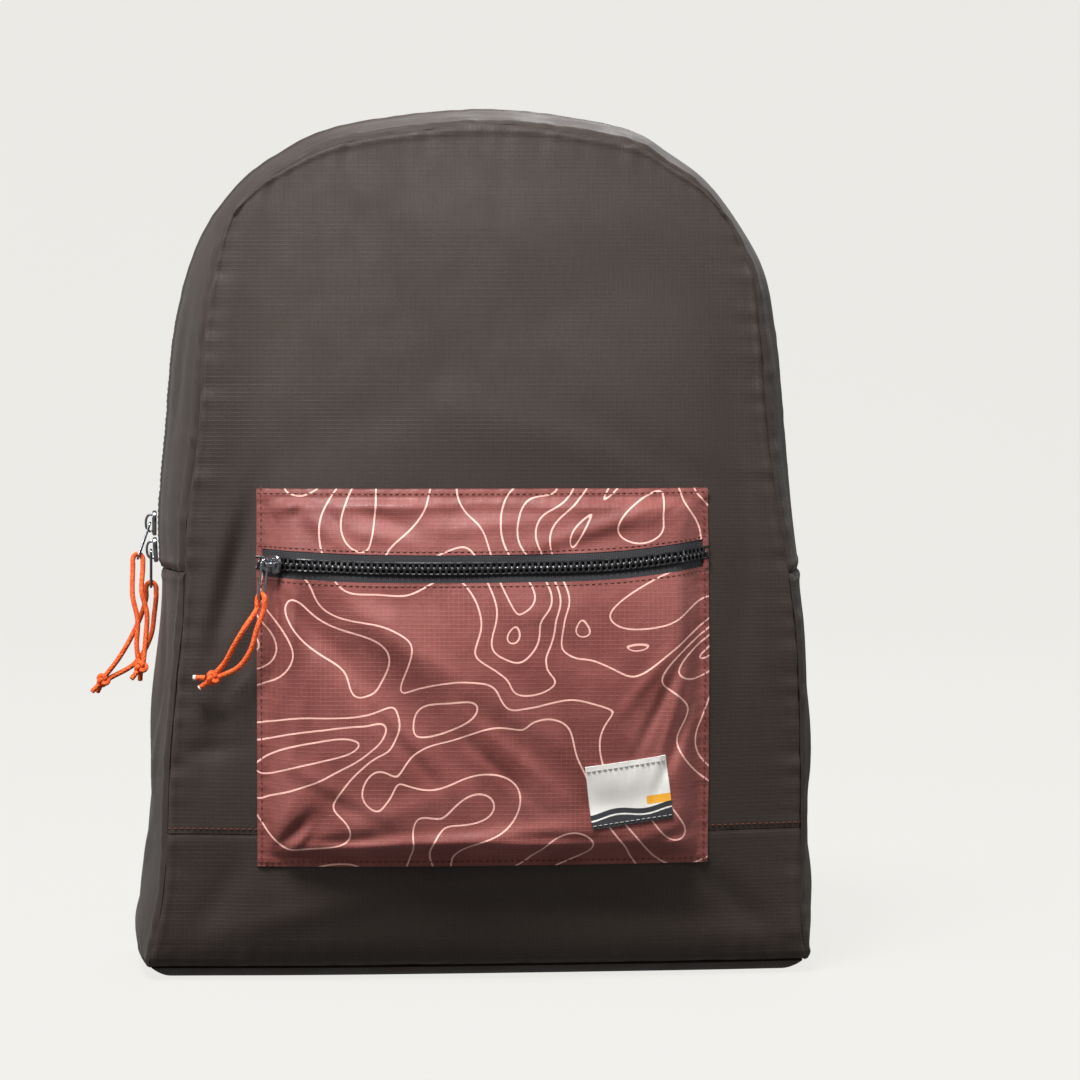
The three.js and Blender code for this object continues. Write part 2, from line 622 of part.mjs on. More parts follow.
add("pocket_zip_chain", "teeth", pocketPiece([0, 1],
  (fromLeft) => pocketZipMiddle(fromLeft) - CHAIN_WIDTH / 2,
  (fromLeft) => pocketZipMiddle(fromLeft) + CHAIN_WIDTH / 2,
  TAPE_CLOTH + FIT_GAP, TAPE_CLOTH + FIT_GAP + CHAIN_RISE));

// The woven label lies on the pocket, a little turned.
const LABEL_GAP = 0.5;
function labelPoint(up, along, out) {
  const [u, v] = [(along - 0.5) * LABEL_WIDTH, (up - 0.5) * LABEL_HEIGHT];
  const fromLeft = POCKET_WIDTH - LABEL_FROM_RIGHT
    + u * Math.cos(LABEL_TURN) - v * Math.sin(LABEL_TURN);
  const fromBottom = LABEL_FROM_BOTTOM + u * Math.sin(LABEL_TURN) + v * Math.cos(LABEL_TURN);
  return pocketPoint(fromLeft, fromBottom, POCKET_CLOTH + LABEL_GAP + out);
}
add("pocket_label", "label", panel(spread(0, 1, 4), spread(0, 1, 5), labelPoint, LABEL_CLOTH, 0));

// Sliders and their wire pulls

// A slider lies along +Y on the chain, its bail stands up along +Z and the wire passes under it.
function sliderGeometry() {
  const [long, wide] = [SLIDER_LENGTH / 2, SLIDER_WIDTH / 2];
  const plate = new THREE.Shape([
    new THREE.Vector2(-wide * 0.62, -long),
    new THREE.Vector2(wide * 0.62, -long),
    new THREE.Vector2(wide * 0.8, -long * 0.2),
    new THREE.Vector2(wide, long * 0.6),
    new THREE.Vector2(wide * 0.55, long),
    new THREE.Vector2(-wide * 0.55, long),
    new THREE.Vector2(-wide, long * 0.6),
    new THREE.Vector2(-wide * 0.8, -long * 0.2),
  ]);
  const bail = new THREE.Shape([
    new THREE.Vector2(-long * 0.7, -BAIL_BAR / 2),
    new THREE.Vector2(long * 0.7, -BAIL_BAR / 2),
    new THREE.Vector2(long * 0.7, BAIL_HEIGHT * 0.6),
    new THREE.Vector2(long * 0.35, BAIL_HEIGHT),
    new THREE.Vector2(-long * 0.35, BAIL_HEIGHT),
    new THREE.Vector2(-long * 0.7, BAIL_HEIGHT * 0.6),
  ]);
  const [end, top] = [long * 0.7 - BAIL_BAR, BAIL_HEIGHT - BAIL_BAR];
  bail.holes.push(new THREE.Path([
    new THREE.Vector2(-end, 0),
    new THREE.Vector2(-end, BAIL_HEIGHT * 0.5),
    new THREE.Vector2(-long * 0.3, top),
    new THREE.Vector2(long * 0.3, top),
    new THREE.Vector2(end, BAIL_HEIGHT * 0.5),
    new THREE.Vector2(end, 0),
  ]));
  const flat = { bevelEnabled: false };
  const plateSolid = new THREE.ExtrudeGeometry(plate, { ...flat, depth: SLIDER_PLATE });
  const bailSolid = new THREE.ExtrudeGeometry(bail, { ...flat, depth: BAIL_WIDTH });
  bailSolid.translate(0, 0, -BAIL_WIDTH / 2);
  bailSolid.rotateX(Math.PI / 2);
  bailSolid.rotateZ(Math.PI / 2);
  bailSolid.translate(0, 0, SLIDER_PLATE);
  return fused(plateSolid, bailSolid);
}

// A closed wire loop: its upper end lies across +X at the origin, and it hangs towards -Y.
function wireLoop() {
  const [half, reach] = [(WIRE_WIDTH - WIRE) / 2, WIRE_LENGTH - WIRE];
  const round = half * 0.8;
  const points = [
    vector(-half + round, 0, 0),
    vector(half - round, 0, 0),
    vector(half, -round, 0),
    vector(half, -reach + round, 0),
    vector(half - round, -reach, 0),
    vector(-half + round, -reach, 0),
    vector(-half, -reach + round, 0),
    vector(-half, -round, 0),
  ];
  const line = new THREE.CatmullRomCurve3(points, true, "centripetal");
  return new THREE.TubeGeometry(line, 20, WIRE / 2, 6, true);
}

// The cord's turn over the wire's lower end, open downwards: two ends lie either way of X.
const HITCH_RADIUS = WIRE / 2 + HITCH_GAP + CORD / 2;
const HITCH_STUB = 2.4;
function hitchGeometry() {
  const arc = spread(0, Math.PI, 6).map((turn) =>
    vector(-HITCH_RADIUS * Math.cos(turn), HITCH_RADIUS * Math.sin(turn), 0));
  const points = [
    vector(-HITCH_RADIUS, -HITCH_STUB, 0),
    ...arc,
    vector(HITCH_RADIUS, -HITCH_STUB, 0),
  ];
  const line = new THREE.CatmullRomCurve3(points, false, "centripetal");
  const settings = { steps: 12, extrudePath: line, bevelEnabled: false };
  return new THREE.ExtrudeGeometry(roundSection(CORD, CORD_SIDES), settings);
}

// A group whose own X, Y and Z lie along three directions.
function placed(at, x, y, z) {
  const group = new THREE.Group();
  group.applyMatrix4(new THREE.Matrix4().makeBasis(x, y, z).setPosition(at));
  bag.add(group);
  return group;
}

// A knot with its two tails, and the two legs of cord that run into it from the hitch's ends.
const KNOT_GAP = 0.5;
const KNOT_SPREAD = degToRad(25);
function addCord(name, ring, starts, { knot, legs, tails }) {
  const from = (offset) => ring.clone().add(vector(...offset));
  const centre = from(knot);
  const lump = new THREE.SphereGeometry(KNOT / 2, 10, 7).translate(...centre.toArray());
  const tailSolids = tails.map((tail) => cordAlong([centre, from(tail)], CORD));
  add(`${name}_knot`, "cord", fused(lump, ...tailSolids));
  const lasts = legs.map((leg) => from(leg.at(-1)));
  const mean = lasts[0].clone().lerp(lasts[1], 0.5).sub(centre).normalize();
  legs.forEach((leg, i) => {
    const side = lasts[i].clone().sub(lasts[1 - i]);
    side.addScaledVector(mean, -side.dot(mean)).normalize();
    const arrival = mean.clone().multiplyScalar(Math.cos(KNOT_SPREAD))
      .addScaledVector(side, Math.sin(KNOT_SPREAD));
    const end = centre.clone().addScaledVector(arrival, KNOT / 2 + KNOT_GAP);
    add(`${name}_cord_${"ab"[i]}`, "cord", cordAlong([...starts[i], ...leg.map(from), end], CORD));
  });
}

// One slider with its pull: where it sits on the chain, which way the zip runs, which way is
// outwards, and which way the wire's loop hangs and lies.
function addPull(name, at, along, outwards, { hang, loopAcross, hitchAcross, cord }) {
  const across = vector().crossVectors(along, outwards);
  const seat = at.clone().addScaledVector(outwards, SLIDER_GAP);
  add(`${name}_slider`, "metal", sliderGeometry(), placed(seat, across, along, outwards));
  const bailMiddle = SLIDER_PLATE + (BAIL_HEIGHT - BAIL_BAR) / 2;
  const eye = seat.clone().addScaledVector(outwards, bailMiddle);
  const loopSide = (WIRE_WIDTH - WIRE) / 2;
  const throughSide = Math.abs(loopAcross.dot(across)) < 0.5;
  const loopTop = throughSide
    ? eye.clone().addScaledVector(loopAcross, loopSide).addScaledVector(hang, -BAIL_WIDTH)
    : eye;
  const loopNormal = vector().crossVectors(loopAcross, hang.clone().negate());
  add(`${name}_wire`, "metal", wireLoop(),
    placed(loopTop, loopAcross, hang.clone().negate(), loopNormal));
  const low = loopTop.clone().addScaledVector(hang, WIRE_LENGTH - WIRE);
  const normal = vector().crossVectors(loopAcross, hitchAcross).normalize();
  const up = normal.z > 0 ? normal : normal.negate();
  add(`${name}_hitch`, "cord", hitchGeometry(),
    placed(low, hitchAcross, up, vector().crossVectors(hitchAcross, up)));
  const starts = [-1, 1].map((sign) => [HITCH_STUB + FIT_GAP, HITCH_STUB + CORD].map((below) =>
    low.clone().addScaledVector(hitchAcross, sign * HITCH_RADIUS).addScaledVector(up, -below)));
  addCord(name, low, starts, cord);
}

// The two sliders of the main zip hang at its left end.
for (const [name, rise, lean, drift] of [
  ["upper", UPPER_SLIDER_RISE, 0.34, -0.18],
  ["lower", LOWER_SLIDER_RISE, 0.06, 0.14],
]) {
  const station = stationAt("left", ZIP_END_HEIGHT + rise);
  const at = gussetPoint(station, ZIP_PLACE, -CHAIN_RISE);
  const along = crownLine.getTangentAt(station);
  const outwards = vector(-along.z, 0, along.x);
  const hang = vector(0, drift, 0).sub(along).addScaledVector(outwards, lean).normalize();
  addPull(`side_pull_${name}`, at, along, outwards, {
    hang,
    loopAcross: vector(0, 1, 0).addScaledVector(hang, -hang.y).normalize(),
    hitchAcross: vector(1, 0, 0),
    cord: PULL_CORDS[name],
  });
}

// The pocket's slider stands closed at the left end, and its wire hangs down in front.
{
  const fromLeft = POCKET_SLIDER_FROM_LEFT;
  const onChain = (distance) =>
    pocketPoint(distance, pocketZipMiddle(distance), TAPE_CLOTH + FIT_GAP + CHAIN_RISE);
  const half = SLIDER_LENGTH / 2;
  const along = onChain(fromLeft + half).sub(onChain(fromLeft - half)).normalize();
  const outwards = vector().crossVectors(along, vector(0, 0, 1)).normalize();
  const hang = vector().crossVectors(along, outwards).addScaledVector(outwards, 0.1).normalize();
  const square = outwards.clone().addScaledVector(hang, -outwards.dot(hang)).normalize();
  addPull("pocket_pull", onChain(fromLeft), along, outwards, {
    hang,
    loopAcross: square,
    hitchAcross: along.clone().setZ(0).normalize(),
    cord: PULL_CORDS.pocket,
  });
}

// Shoulder straps, their buckles and webbing, and the carrying handle

const outOfBack = (x, z, off) => faceAt("back", x, z).add(vector(0, off, 0));

const STRAP_TOP = BAG_HEIGHT - STRAP_BELOW_CROWN;
const STRAP_FOOT_SPREAD = BAG_HALF_WIDTH - STRAP_FOOT_FROM_SIDE;
for (const [side, sign] of [["left", -1], ["right", 1]]) {
  const strapAt = (down) => {
    const x = sign * lerp(STRAP_TOP_SPREAD, STRAP_FOOT_SPREAD, down);
    const z = lerp(STRAP_TOP, STRAP_FOOT, down);
    const off = STRAP_SEAT + STRAP_THICKNESS / 2;
    return outOfBack(x, z, off + STRAP_BOW * follow(STRAP_COURSE, "down", "out", down));
  };
  const strapLine = new THREE.CatmullRomCurve3(spread(0, 1, 12).map(strapAt));
  const strapFrames = framesAlong(strapLine, 16, () => vector(1, 0, 0), (down) => paddedSection(
    STRAP_WIDTH * follow(STRAP_COURSE, "down", "width", down), STRAP_THICKNESS));
  add(`shoulder_strap_${side}`, "body", carried(strapFrames));

  // The buckle hangs on in line with the strap's lower end; the webbing turns round its bar.
  const foot = strapFrames.at(-1);
  const down = strapLine.getTangentAt(1);
  const outwards = foot.up.y > 0 ? foot.up.clone() : foot.up.clone().negate();
  const lockHeight = 3 * LOCK_BAR + 2 * LOCK_SLOT;
  const lockWidth = WEBBING_WIDTH + 2 * LOCK_SIDE_GAP + 2 * LOCK_BAR;
  const bar = foot.at.clone().addScaledVector(down, FIT_GAP + lockHeight / 2);
  const rectangle = (width, low, high) => [
    new THREE.Vector2(-width / 2, low),
    new THREE.Vector2(width / 2, low),
    new THREE.Vector2(width / 2, high),
    new THREE.Vector2(-width / 2, high),
  ];
  const lock = new THREE.Shape(rectangle(lockWidth, -lockHeight / 2, lockHeight / 2));
  const slotWidth = lockWidth - 2 * LOCK_BAR;
  const slotEdge = LOCK_BAR / 2;
  lock.holes.push(
    new THREE.Path(rectangle(slotWidth, slotEdge, slotEdge + LOCK_SLOT)),
    new THREE.Path(rectangle(slotWidth, -slotEdge - LOCK_SLOT, -slotEdge)),
  );
  const lockSolid = new THREE.ExtrudeGeometry(lock, { depth: LOCK_BAR, bevelEnabled: false });
  lockSolid.translate(0, 0, -LOCK_BAR / 2);
  const up = down.clone().negate();
  const right = vector().crossVectors(up, outwards);
  add(`strap_buckle_${side}`, "buckle", lockSolid, placed(bar, right, up, outwards));

  const turn = LOCK_BAR * Math.SQRT1_2 + WRAP_GAP + WEBBING / 2;
  const local = (along, out) => bar.clone().addScaledVector(up, along).addScaledVector(outwards, out);
  const sewn = WEBBING_WIDTH * 0.7;
  const footX = sign * (BAG_HALF_WIDTH - WEBBING_FROM_SIDE);
  const flat = FIT_GAP + WEBBING / 2;
  const footEdge = (end) => outOfBack(footX + (end * WEBBING_WIDTH) / 2, WEBBING_FOOT + sewn / 2, 0);
  const footWays = footEdge(Math.sign(right.x)).sub(footEdge(-Math.sign(right.x))).normalize();
  const waysAt = (share) => footWays.clone().lerp(right, smoothstep(share, 0.1, 0.3));
  const webbingLine = new THREE.CatmullRomCurve3([
    outOfBack(footX, WEBBING_FOOT, flat),
    outOfBack(footX, WEBBING_FOOT + sewn, flat),
    local(-lockHeight, -turn),
    local(0, -turn),
    ...spread(-45, 45, 2).map((angle) =>
      local(turn * Math.cos(degToRad(angle)), turn * Math.sin(degToRad(angle)))),
    local(0, turn),
    local(-lockHeight / 2, turn),
    local(-lockHeight / 2, turn).add(vector(0, TAIL_DRIFT, -WEBBING_TAIL / 2)),
    local(-lockHeight / 2, turn).add(vector(sign * TAIL_DRIFT / 2, TAIL_DRIFT, -WEBBING_TAIL)),
  ], false, "centripetal");
  add(`strap_webbing_${side}`, "webbing", carried(
    framesAlong(webbingLine, 44, waysAt, () => flatSection(WEBBING_WIDTH, WEBBING))));
}

{
  const height = BAG_HEIGHT - HANDLE_BELOW_CROWN;
  const sewnIn = HANDLE_HALF_SPAN - HANDLE_SEWN;
  const flat = FIT_GAP + WEBBING / 2;
  const [handleEnd, handleFoot, handleCrest] = [HANDLE_HALF_SPAN, sewnIn, HANDLE_HALF_CREST];
  const stops = [
    [handleEnd, 0],
    [handleFoot, 0],
    [lerp(handleFoot, handleCrest, 0.35), 0.35],
    [lerp(handleFoot, handleCrest, 0.75), 0.9],
    [handleCrest, 1],
  ];
  const at = ([x, out], sign) => {
    const seated = outOfBack(sign * x, height, flat);
    const crest = outOfBack(0, height, flat).y + HANDLE_BOW;
    const edge = (up) => outOfBack(sign * x, height + (up * WEBBING_WIDTH) / 2, 0);
    const lying = edge(1).sub(edge(-1)).normalize();
    return {
      point: seated.setY(lerp(seated.y, crest, out)),
      across: lying.lerp(vector(0, 0, 1), out).normalize(),
    };
  };
  const course = [
    ...stops.map((stop) => at(stop, -1)),
    ...stops.toReversed().map((stop) => at(stop, 1)),
  ];
  const frames = course.map(({ point, across }, i) => {
    const before = course[Math.max(i - 1, 0)].point;
    const after = course[Math.min(i + 1, course.length - 1)].point;
    const up = vector().crossVectors(after.clone().sub(before), across).normalize();
    return { at: point, across, up, section: flatSection(WEBBING_WIDTH, WEBBING) };
  });
  add("grab_handle", "webbing", carried(frames));
}

export default bag;
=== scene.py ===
import math

import bpy
import numpy as np
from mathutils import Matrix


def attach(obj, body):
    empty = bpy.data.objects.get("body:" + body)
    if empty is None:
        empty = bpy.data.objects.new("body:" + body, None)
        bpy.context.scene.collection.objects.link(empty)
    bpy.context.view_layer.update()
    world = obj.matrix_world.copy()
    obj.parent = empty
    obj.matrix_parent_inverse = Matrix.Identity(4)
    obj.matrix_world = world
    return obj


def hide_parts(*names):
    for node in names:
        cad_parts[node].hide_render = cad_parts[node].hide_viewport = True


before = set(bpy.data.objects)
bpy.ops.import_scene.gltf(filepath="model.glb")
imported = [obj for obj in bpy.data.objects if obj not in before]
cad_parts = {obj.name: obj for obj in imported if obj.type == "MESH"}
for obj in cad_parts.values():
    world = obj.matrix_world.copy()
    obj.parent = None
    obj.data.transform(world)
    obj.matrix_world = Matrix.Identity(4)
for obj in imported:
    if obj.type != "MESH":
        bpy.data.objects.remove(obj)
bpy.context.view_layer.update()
MM = 0.001

# The view: the camera stands a little to the left of the bag and a little above its middle,
# about 1.6 m away, as the studio photograph was taken.
CAMERA_AZIMUTH = math.radians(-4)
CAMERA_ELEVATION = math.radians(2.5)
CAMERA_DISTANCE = 1.6
AIM_HEIGHT = 0.210
VIEW_WIDTH = 0.5362  # width of the frame where the middle of the bag stands

camera = bpy.data.objects.new("camera", bpy.data.cameras.new("camera"))
bpy.context.collection.objects.link(camera)
bpy.context.scene.camera = camera
camera.data.sensor_width = 36
camera.data.lens = 36 * CAMERA_DISTANCE / VIEW_WIDTH
camera.data.shift_x = 0.0602
camera.data.shift_y = -0.0033
camera.location = (
    CAMERA_DISTANCE * math.sin(CAMERA_AZIMUTH) * math.cos(CAMERA_ELEVATION),
    -CAMERA_DISTANCE * math.cos(CAMERA_AZIMUTH) * math.cos(CAMERA_ELEVATION),
    AIM_HEIGHT + CAMERA_DISTANCE * math.sin(CAMERA_ELEVATION),
)
camera.rotation_euler = (math.pi / 2 - CAMERA_ELEVATION, 0, CAMERA_AZIMUTH)

# The studio: a pale seamless floor that turns up into the wall behind, and even light, a wide
# soft lamp high in front, a weaker one at each side and one from above for the top of the bag.
bpy.context.scene.view_settings.view_transform = "Standard"
world = bpy.data.worlds.new("studio")
bpy.context.scene.world = world
world.use_nodes = True
world.node_tree.nodes["Background"].inputs["Color"].default_value = (0.86, 0.85, 0.83, 1)
world.node_tree.nodes["Background"].inputs["Strength"].default_value = 0.26

for name, place, aim, size, power in (
    ("key_lamp", (-0.45, -1.0, 2.1), (0, 0, 0.26), 0.75, 84),
    ("left_lamp", (-2.2, -0.9, 1.1), (0, 0, 0.22), 0.7, 20),
    ("right_lamp", (2.2, -0.8, 1.1), (0, 0, 0.22), 0.7, 15),
    ("back_lamp", (0.6, 1.9, 1.9), (0, 0, 0.25), 1.0, 26),
):
    lamp = bpy.data.objects.new(name, bpy.data.lights.new(name, "AREA"))
    bpy.context.collection.objects.link(lamp)
    lamp.data.shape = "DISK"
    lamp.data.size = size
    lamp.data.energy = power
    lamp.location = place
    away = np.array(aim) - np.array(place)
    lamp.rotation_euler = (
        math.acos(-away[2] / np.linalg.norm(away)),
        0,
        math.atan2(away[0], -away[1]) + math.pi,
    )


def linear(red, green, blue):
    """Light of each colour for a screen value from 0 to 255, by the usual screen curve."""
    value = np.array([red, green, blue]) / 255
    light = np.where(value <= 0.04045, value / 12.92, ((value + 0.055) / 1.055) ** 2.4)
    return (*light.tolist(), 1.0)


PAPER = linear(238, 237, 233)
PAPER_GLOW = 0.94  # share of the paper's brightness that doesn't hang on the lamps

paper_finish = bpy.data.materials.new("studio_paper")
paper_finish.use_nodes = True
paper_shader = paper_finish.node_tree.nodes["Principled BSDF"]
paper_shader.inputs["Base Color"].default_value = tuple(0.05 * c for c in PAPER[:3]) + (1,)
paper_shader.inputs["Roughness"].default_value = 0.9
paper_shader.inputs["Specular IOR Level"].default_value = 0.0
paper_shader.inputs["Emission Color"].default_value = PAPER
paper_shader.inputs["Emission Strength"].default_value = PAPER_GLOW
PAPER_HALF_WIDTH, PAPER_FRONT, PAPER_BACK, PAPER_TURN, PAPER_TOP = 6.0, -3.5, 2.2, 1.2, 5.0
bend = np.linspace(0, math.pi / 2, 17)
profile = [(PAPER_FRONT, 0.0)]
profile += [(PAPER_BACK + PAPER_TURN * math.sin(t), PAPER_TURN * (1 - math.cos(t))) for t in bend]
profile += [(PAPER_BACK + PAPER_TURN, PAPER_TOP)]
paper_mesh = bpy.data.meshes.new("studio_paper")
paper_mesh.from_pydata(
    [(x, y, z) for y, z in profile for x in (-PAPER_HALF_WIDTH, PAPER_HALF_WIDTH)],
    [],
    [(2 * k, 2 * k + 1, 2 * k + 3, 2 * k + 2) for k in range(len(profile) - 1)],
)
paper_mesh.polygons.foreach_set("use_smooth", [True] * len(paper_mesh.polygons))
paper_mesh.materials.append(paper_finish)
studio_paper = bpy.data.objects.new("studio_paper", paper_mesh)
studio_paper.visible_diffuse = False
studio_paper.visible_glossy = False
bpy.context.collection.objects.link(studio_paper)

# Pull cords: elastic braid, 2.5 mm thick, hitched over the end of each slider's wire. Both legs
# run down into one overhand knot, and the two cut tails stand out of it.
CORD_RADIUS = 1.25
KNOT_RADIUS = 3.8
CORD_ORANGE = linear(232, 88, 40)


def smooth_line(points, per_span=16):
    """A smooth line through points, by cubic spans. Each span leaves and arrives along the
    chords beside it, weighted by the square root of their lengths."""
    p = np.asarray(points, float)
    p = np.vstack([2 * p[:1] - p[1:2], p, 2 * p[-1:] - p[-2:-1]])
    root = np.linalg.norm(np.diff(p, axis=0), axis=1) ** 0.5
    a, b, c, d = (p[k : len(p) - 3 + k, None] for k in range(4))
    r0, r1, r2 = (root[k : len(root) - 2 + k, None, None] for k in range(3))
    leave = ((b - a) / r0 - (c - a) / (r0 + r1) + (c - b) / r1) * r1
    arrive = ((c - b) / r1 - (d - b) / (r1 + r2) + (d - c) / r2) * r1
    t = np.linspace(0, 1, per_span, endpoint=False)[None, :, None]
    line = b + leave * t + (3 * (c - b) - 2 * leave - arrive) * t**2
    line = line + (leave + arrive - 2 * (c - b)) * t**3
    return np.vstack([line.reshape(-1, p.shape[1]), p[-2:-1]])


def unit(vectors):
    """The same directions at length one."""
    return vectors / np.linalg.norm(vectors, axis=-1, keepdims=True)


def run_of(line):
    """Distance along a line at each of its points."""
    steps = np.linalg.norm(np.diff(line, axis=0), axis=-1)
    return np.concatenate([[0], np.cumsum(steps)])


def lattice(rows, columns, start=0, wrap_rows=False, wrap_columns=False):
    """Quads between the neighbours of a grid of points that is numbered row by row."""
    r = np.arange(rows if wrap_rows else rows - 1)[:, None]
    c = np.arange(columns if wrap_columns else columns - 1)[None, :]
    up, on = (r + 1) % rows, (c + 1) % columns
    quads = [r * columns + c, r * columns + on, up * columns + on, up * columns + c]
    return start + np.stack(quads, -1).reshape(-1, 4)


def tube(line, radius, beside, sides=12, closed=False):
    """Rings of points round a line, each square to it and started at the side that lies nearest
    to the directions in beside. Gives points, faces and a map of turn and length in metres."""
    if closed:
        ways = np.roll(line, -1, axis=0) - np.roll(line, 1, axis=0)
    else:
        ways = np.gradient(line, axis=0)
    across = unit(np.cross(ways, np.broadcast_to(beside, line.shape)))
    up = unit(np.cross(across, ways))
    turn = np.arange(sides) / sides * 2 * math.pi
    ring = across[:, None] * np.cos(turn)[None, :, None] + up[:, None] * np.sin(turn)[None, :, None]
    points = (line[:, None] + radius * ring).reshape(-1, 3)
    count = len(line)
    faces = lattice(count, sides, wrap_rows=closed, wrap_columns=True).tolist()
    if not closed:
        faces.append(list(range(sides))[::-1])
        faces.append(list(range((count - 1) * sides, count * sides)))
    run = run_of(line)
    around = np.broadcast_to(turn / (2 * math.pi), (count, sides))
    length = np.broadcast_to(run[:, None] * MM, (count, sides))
    return points, faces, np.stack([around, length], -1).reshape(-1, 2)


def join_shapes(shapes):
    """Several shapes of points, faces and maps as one."""
    points, faces, maps, start = [], [], [], 0
    for shape_points, shape_faces, shape_map in shapes:
        points.append(shape_points)
        maps.append(shape_map)
        faces += [[start + i for i in face] for face in shape_faces]
        start += len(shape_points)
    return np.vstack(points), faces, np.vstack(maps)


def make_piece(name, shape, finish, slot, *nodes, sharp=40):
    """An object of one mesh in metres, turned outwards, that rides on the bag and stands for the
    named solids."""
    points, faces, cloth_map = shape
    mesh = bpy.data.meshes.new(name)
    faces = faces.tolist() if isinstance(faces, np.ndarray) else faces
    mesh.from_pydata((points * MM).tolist(), [], faces)
    layer = mesh.uv_layers.new(name="cloth")
    corner = np.empty(len(mesh.loops), np.int32)
    mesh.loops.foreach_get("vertex_index", corner)
    layer.data.foreach_set("uv", cloth_map[corner].astype(np.float32).ravel())
    mesh.polygons.foreach_set("use_smooth", np.ones(len(mesh.polygons), bool))
    mesh.set_sharp_from_angle(angle=math.radians(sharp))
    mesh.materials.append(finish)
    mesh.update()
    piece = bpy.data.objects.new(name, mesh)
    bpy.context.collection.objects.link(piece)
    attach(piece, "root")
    if nodes:
        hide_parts(*nodes)
    return piece


class Finish:
    """A material and short ways to add and join its nodes. A pattern reads the piece's own map,
    in metres, or its place."""

    def __init__(self, name, colour, roughness, metallic=0.0, specular=0.5):
        self.material = bpy.data.materials.new(name)
        self.material.use_nodes = True
        self.tree = self.material.node_tree
        self.shader = self.tree.nodes["Principled BSDF"]
        self.shader.inputs["Base Color"].default_value = colour
        self.shader.inputs["Roughness"].default_value = roughness
        self.shader.inputs["Metallic"].default_value = metallic
        self.shader.inputs["Specular IOR Level"].default_value = specular
        self.map = self.tree.nodes.new("ShaderNodeTexCoord")

    def node(self, kind, **inputs):
        made = self.tree.nodes.new("ShaderNode" + kind)
        for key, value in inputs.items():
            self.join(value, made.inputs[int(key[1:]) if key[0] == "i" and key[1:].isdigit() else key])
        return made

    def join(self, value, socket):
        if isinstance(value, bpy.types.NodeSocket):
            self.tree.links.new(value, socket)
        else:
            socket.default_value = value

    def math(self, operation, *values):
        made = self.tree.nodes.new("ShaderNodeMath")
        made.operation = operation
        for value, socket in zip(values, made.inputs):
            self.join(value, socket)
        return made.outputs[0]

    def across_and_along(self, which="UV"):
        """The two numbers of the piece's map, or the three of its place."""
        parts = self.node("SeparateXYZ", i0=self.map.outputs[which])
        return parts.outputs

    def noise(self, scale, detail=2.0, where="Object", roughness=0.5, distortion=0.0):
        made = self.tree.nodes.new("ShaderNodeTexNoise")
        self.join(self.map.outputs[where], made.inputs["Vector"])
        made.inputs["Scale"].default_value = scale
        made.inputs["Detail"].default_value = detail
        made.inputs["Roughness"].default_value = roughness
        made.inputs["Distortion"].default_value = distortion
        return made.outputs["Fac"]

    def ramp(self, value, low, high, to_low=0.0, to_high=1.0):
        """A value carried smoothly from one range to another and held at its ends."""
        made = self.tree.nodes.new("ShaderNodeMapRange")
        made.interpolation_type = "SMOOTHSTEP"
        ends = {"From Min": low, "From Max": high, "To Min": to_low, "To Max": to_high}
        for key, number in ends.items():
            made.inputs[key].default_value = number
        self.join(value, made.inputs["Value"])
        return made.outputs["Result"]

    def mix(self, share, first, second):
        made = self.tree.nodes.new("ShaderNodeMix")
        made.data_type = "RGBA"
        self.join(share, made.inputs["Factor"])
        self.join(first, made.inputs[6])
        self.join(second, made.inputs[7])
        return made.outputs[2]

    def threads(self, value, pitch, share):
        """Narrow raised threads at a pitch in metres: one at each thread, falling to nothing."""
        phase = self.math("FRACT", self.math("DIVIDE", value, pitch))
        off = self.math("ABSOLUTE", self.math("SUBTRACT", phase, 0.5))
        return self.ramp(off, 0.5 - share, 0.5 - share * 0.4)

    def colour(self, value):
        self.join(value, self.shader.inputs["Base Color"])

    def rough(self, value):
        self.join(value, self.shader.inputs["Roughness"])

    def bump(self, height, distance, strength=1.0, under=None):
        made = self.tree.nodes.new("ShaderNodeBump")
        made.inputs["Distance"].default_value = distance
        made.inputs["Strength"].default_value = strength
        self.join(height, made.inputs["Height"])
        if under is not None:
            self.join(under, made.inputs["Normal"])
        self.join(made.outputs["Normal"], self.shader.inputs["Normal"])
        return made.outputs["Normal"]


def cord_finish(name, tip):
    """Orange braid: strands cross both ways round the cord. The white tip starts at a length
    along the map, in metres."""
    made = Finish(name, CORD_ORANGE, 0.75, specular=0.3)
    around, length, _ = made.across_and_along()
    steep = made.math("MULTIPLY", length, 1 / 0.0021)
    turn = made.math("MULTIPLY", around, 6.0)
    one = made.math("SINE", made.math("MULTIPLY", made.math("ADD", turn, steep), math.pi))
    other = made.math("SINE", made.math("MULTIPLY", made.math("SUBTRACT", turn, steep), math.pi))
    braid = made.math("ABSOLUTE", made.math("MULTIPLY", one, other))
    # Painted shade: the gaps between the strands are painted a darker orange.
    shade = made.mix(made.ramp(braid, 0.0, 0.55), linear(196, 62, 20), CORD_ORANGE)
    bright = made.mix(made.ramp(made.noise(900), 0.35, 0.75), shade, linear(250, 122, 62))
    made.colour(made.mix(made.ramp(length, tip - 0.0002, tip + 0.0002), bright, linear(244, 232, 224)))
    made.bump(braid, 0.0003, 0.6)
    return made.material


plain_cord = cord_finish("orange_braid", 9.0)
tipped_cord = cord_finish("orange_braid_tipped", 0.0045)

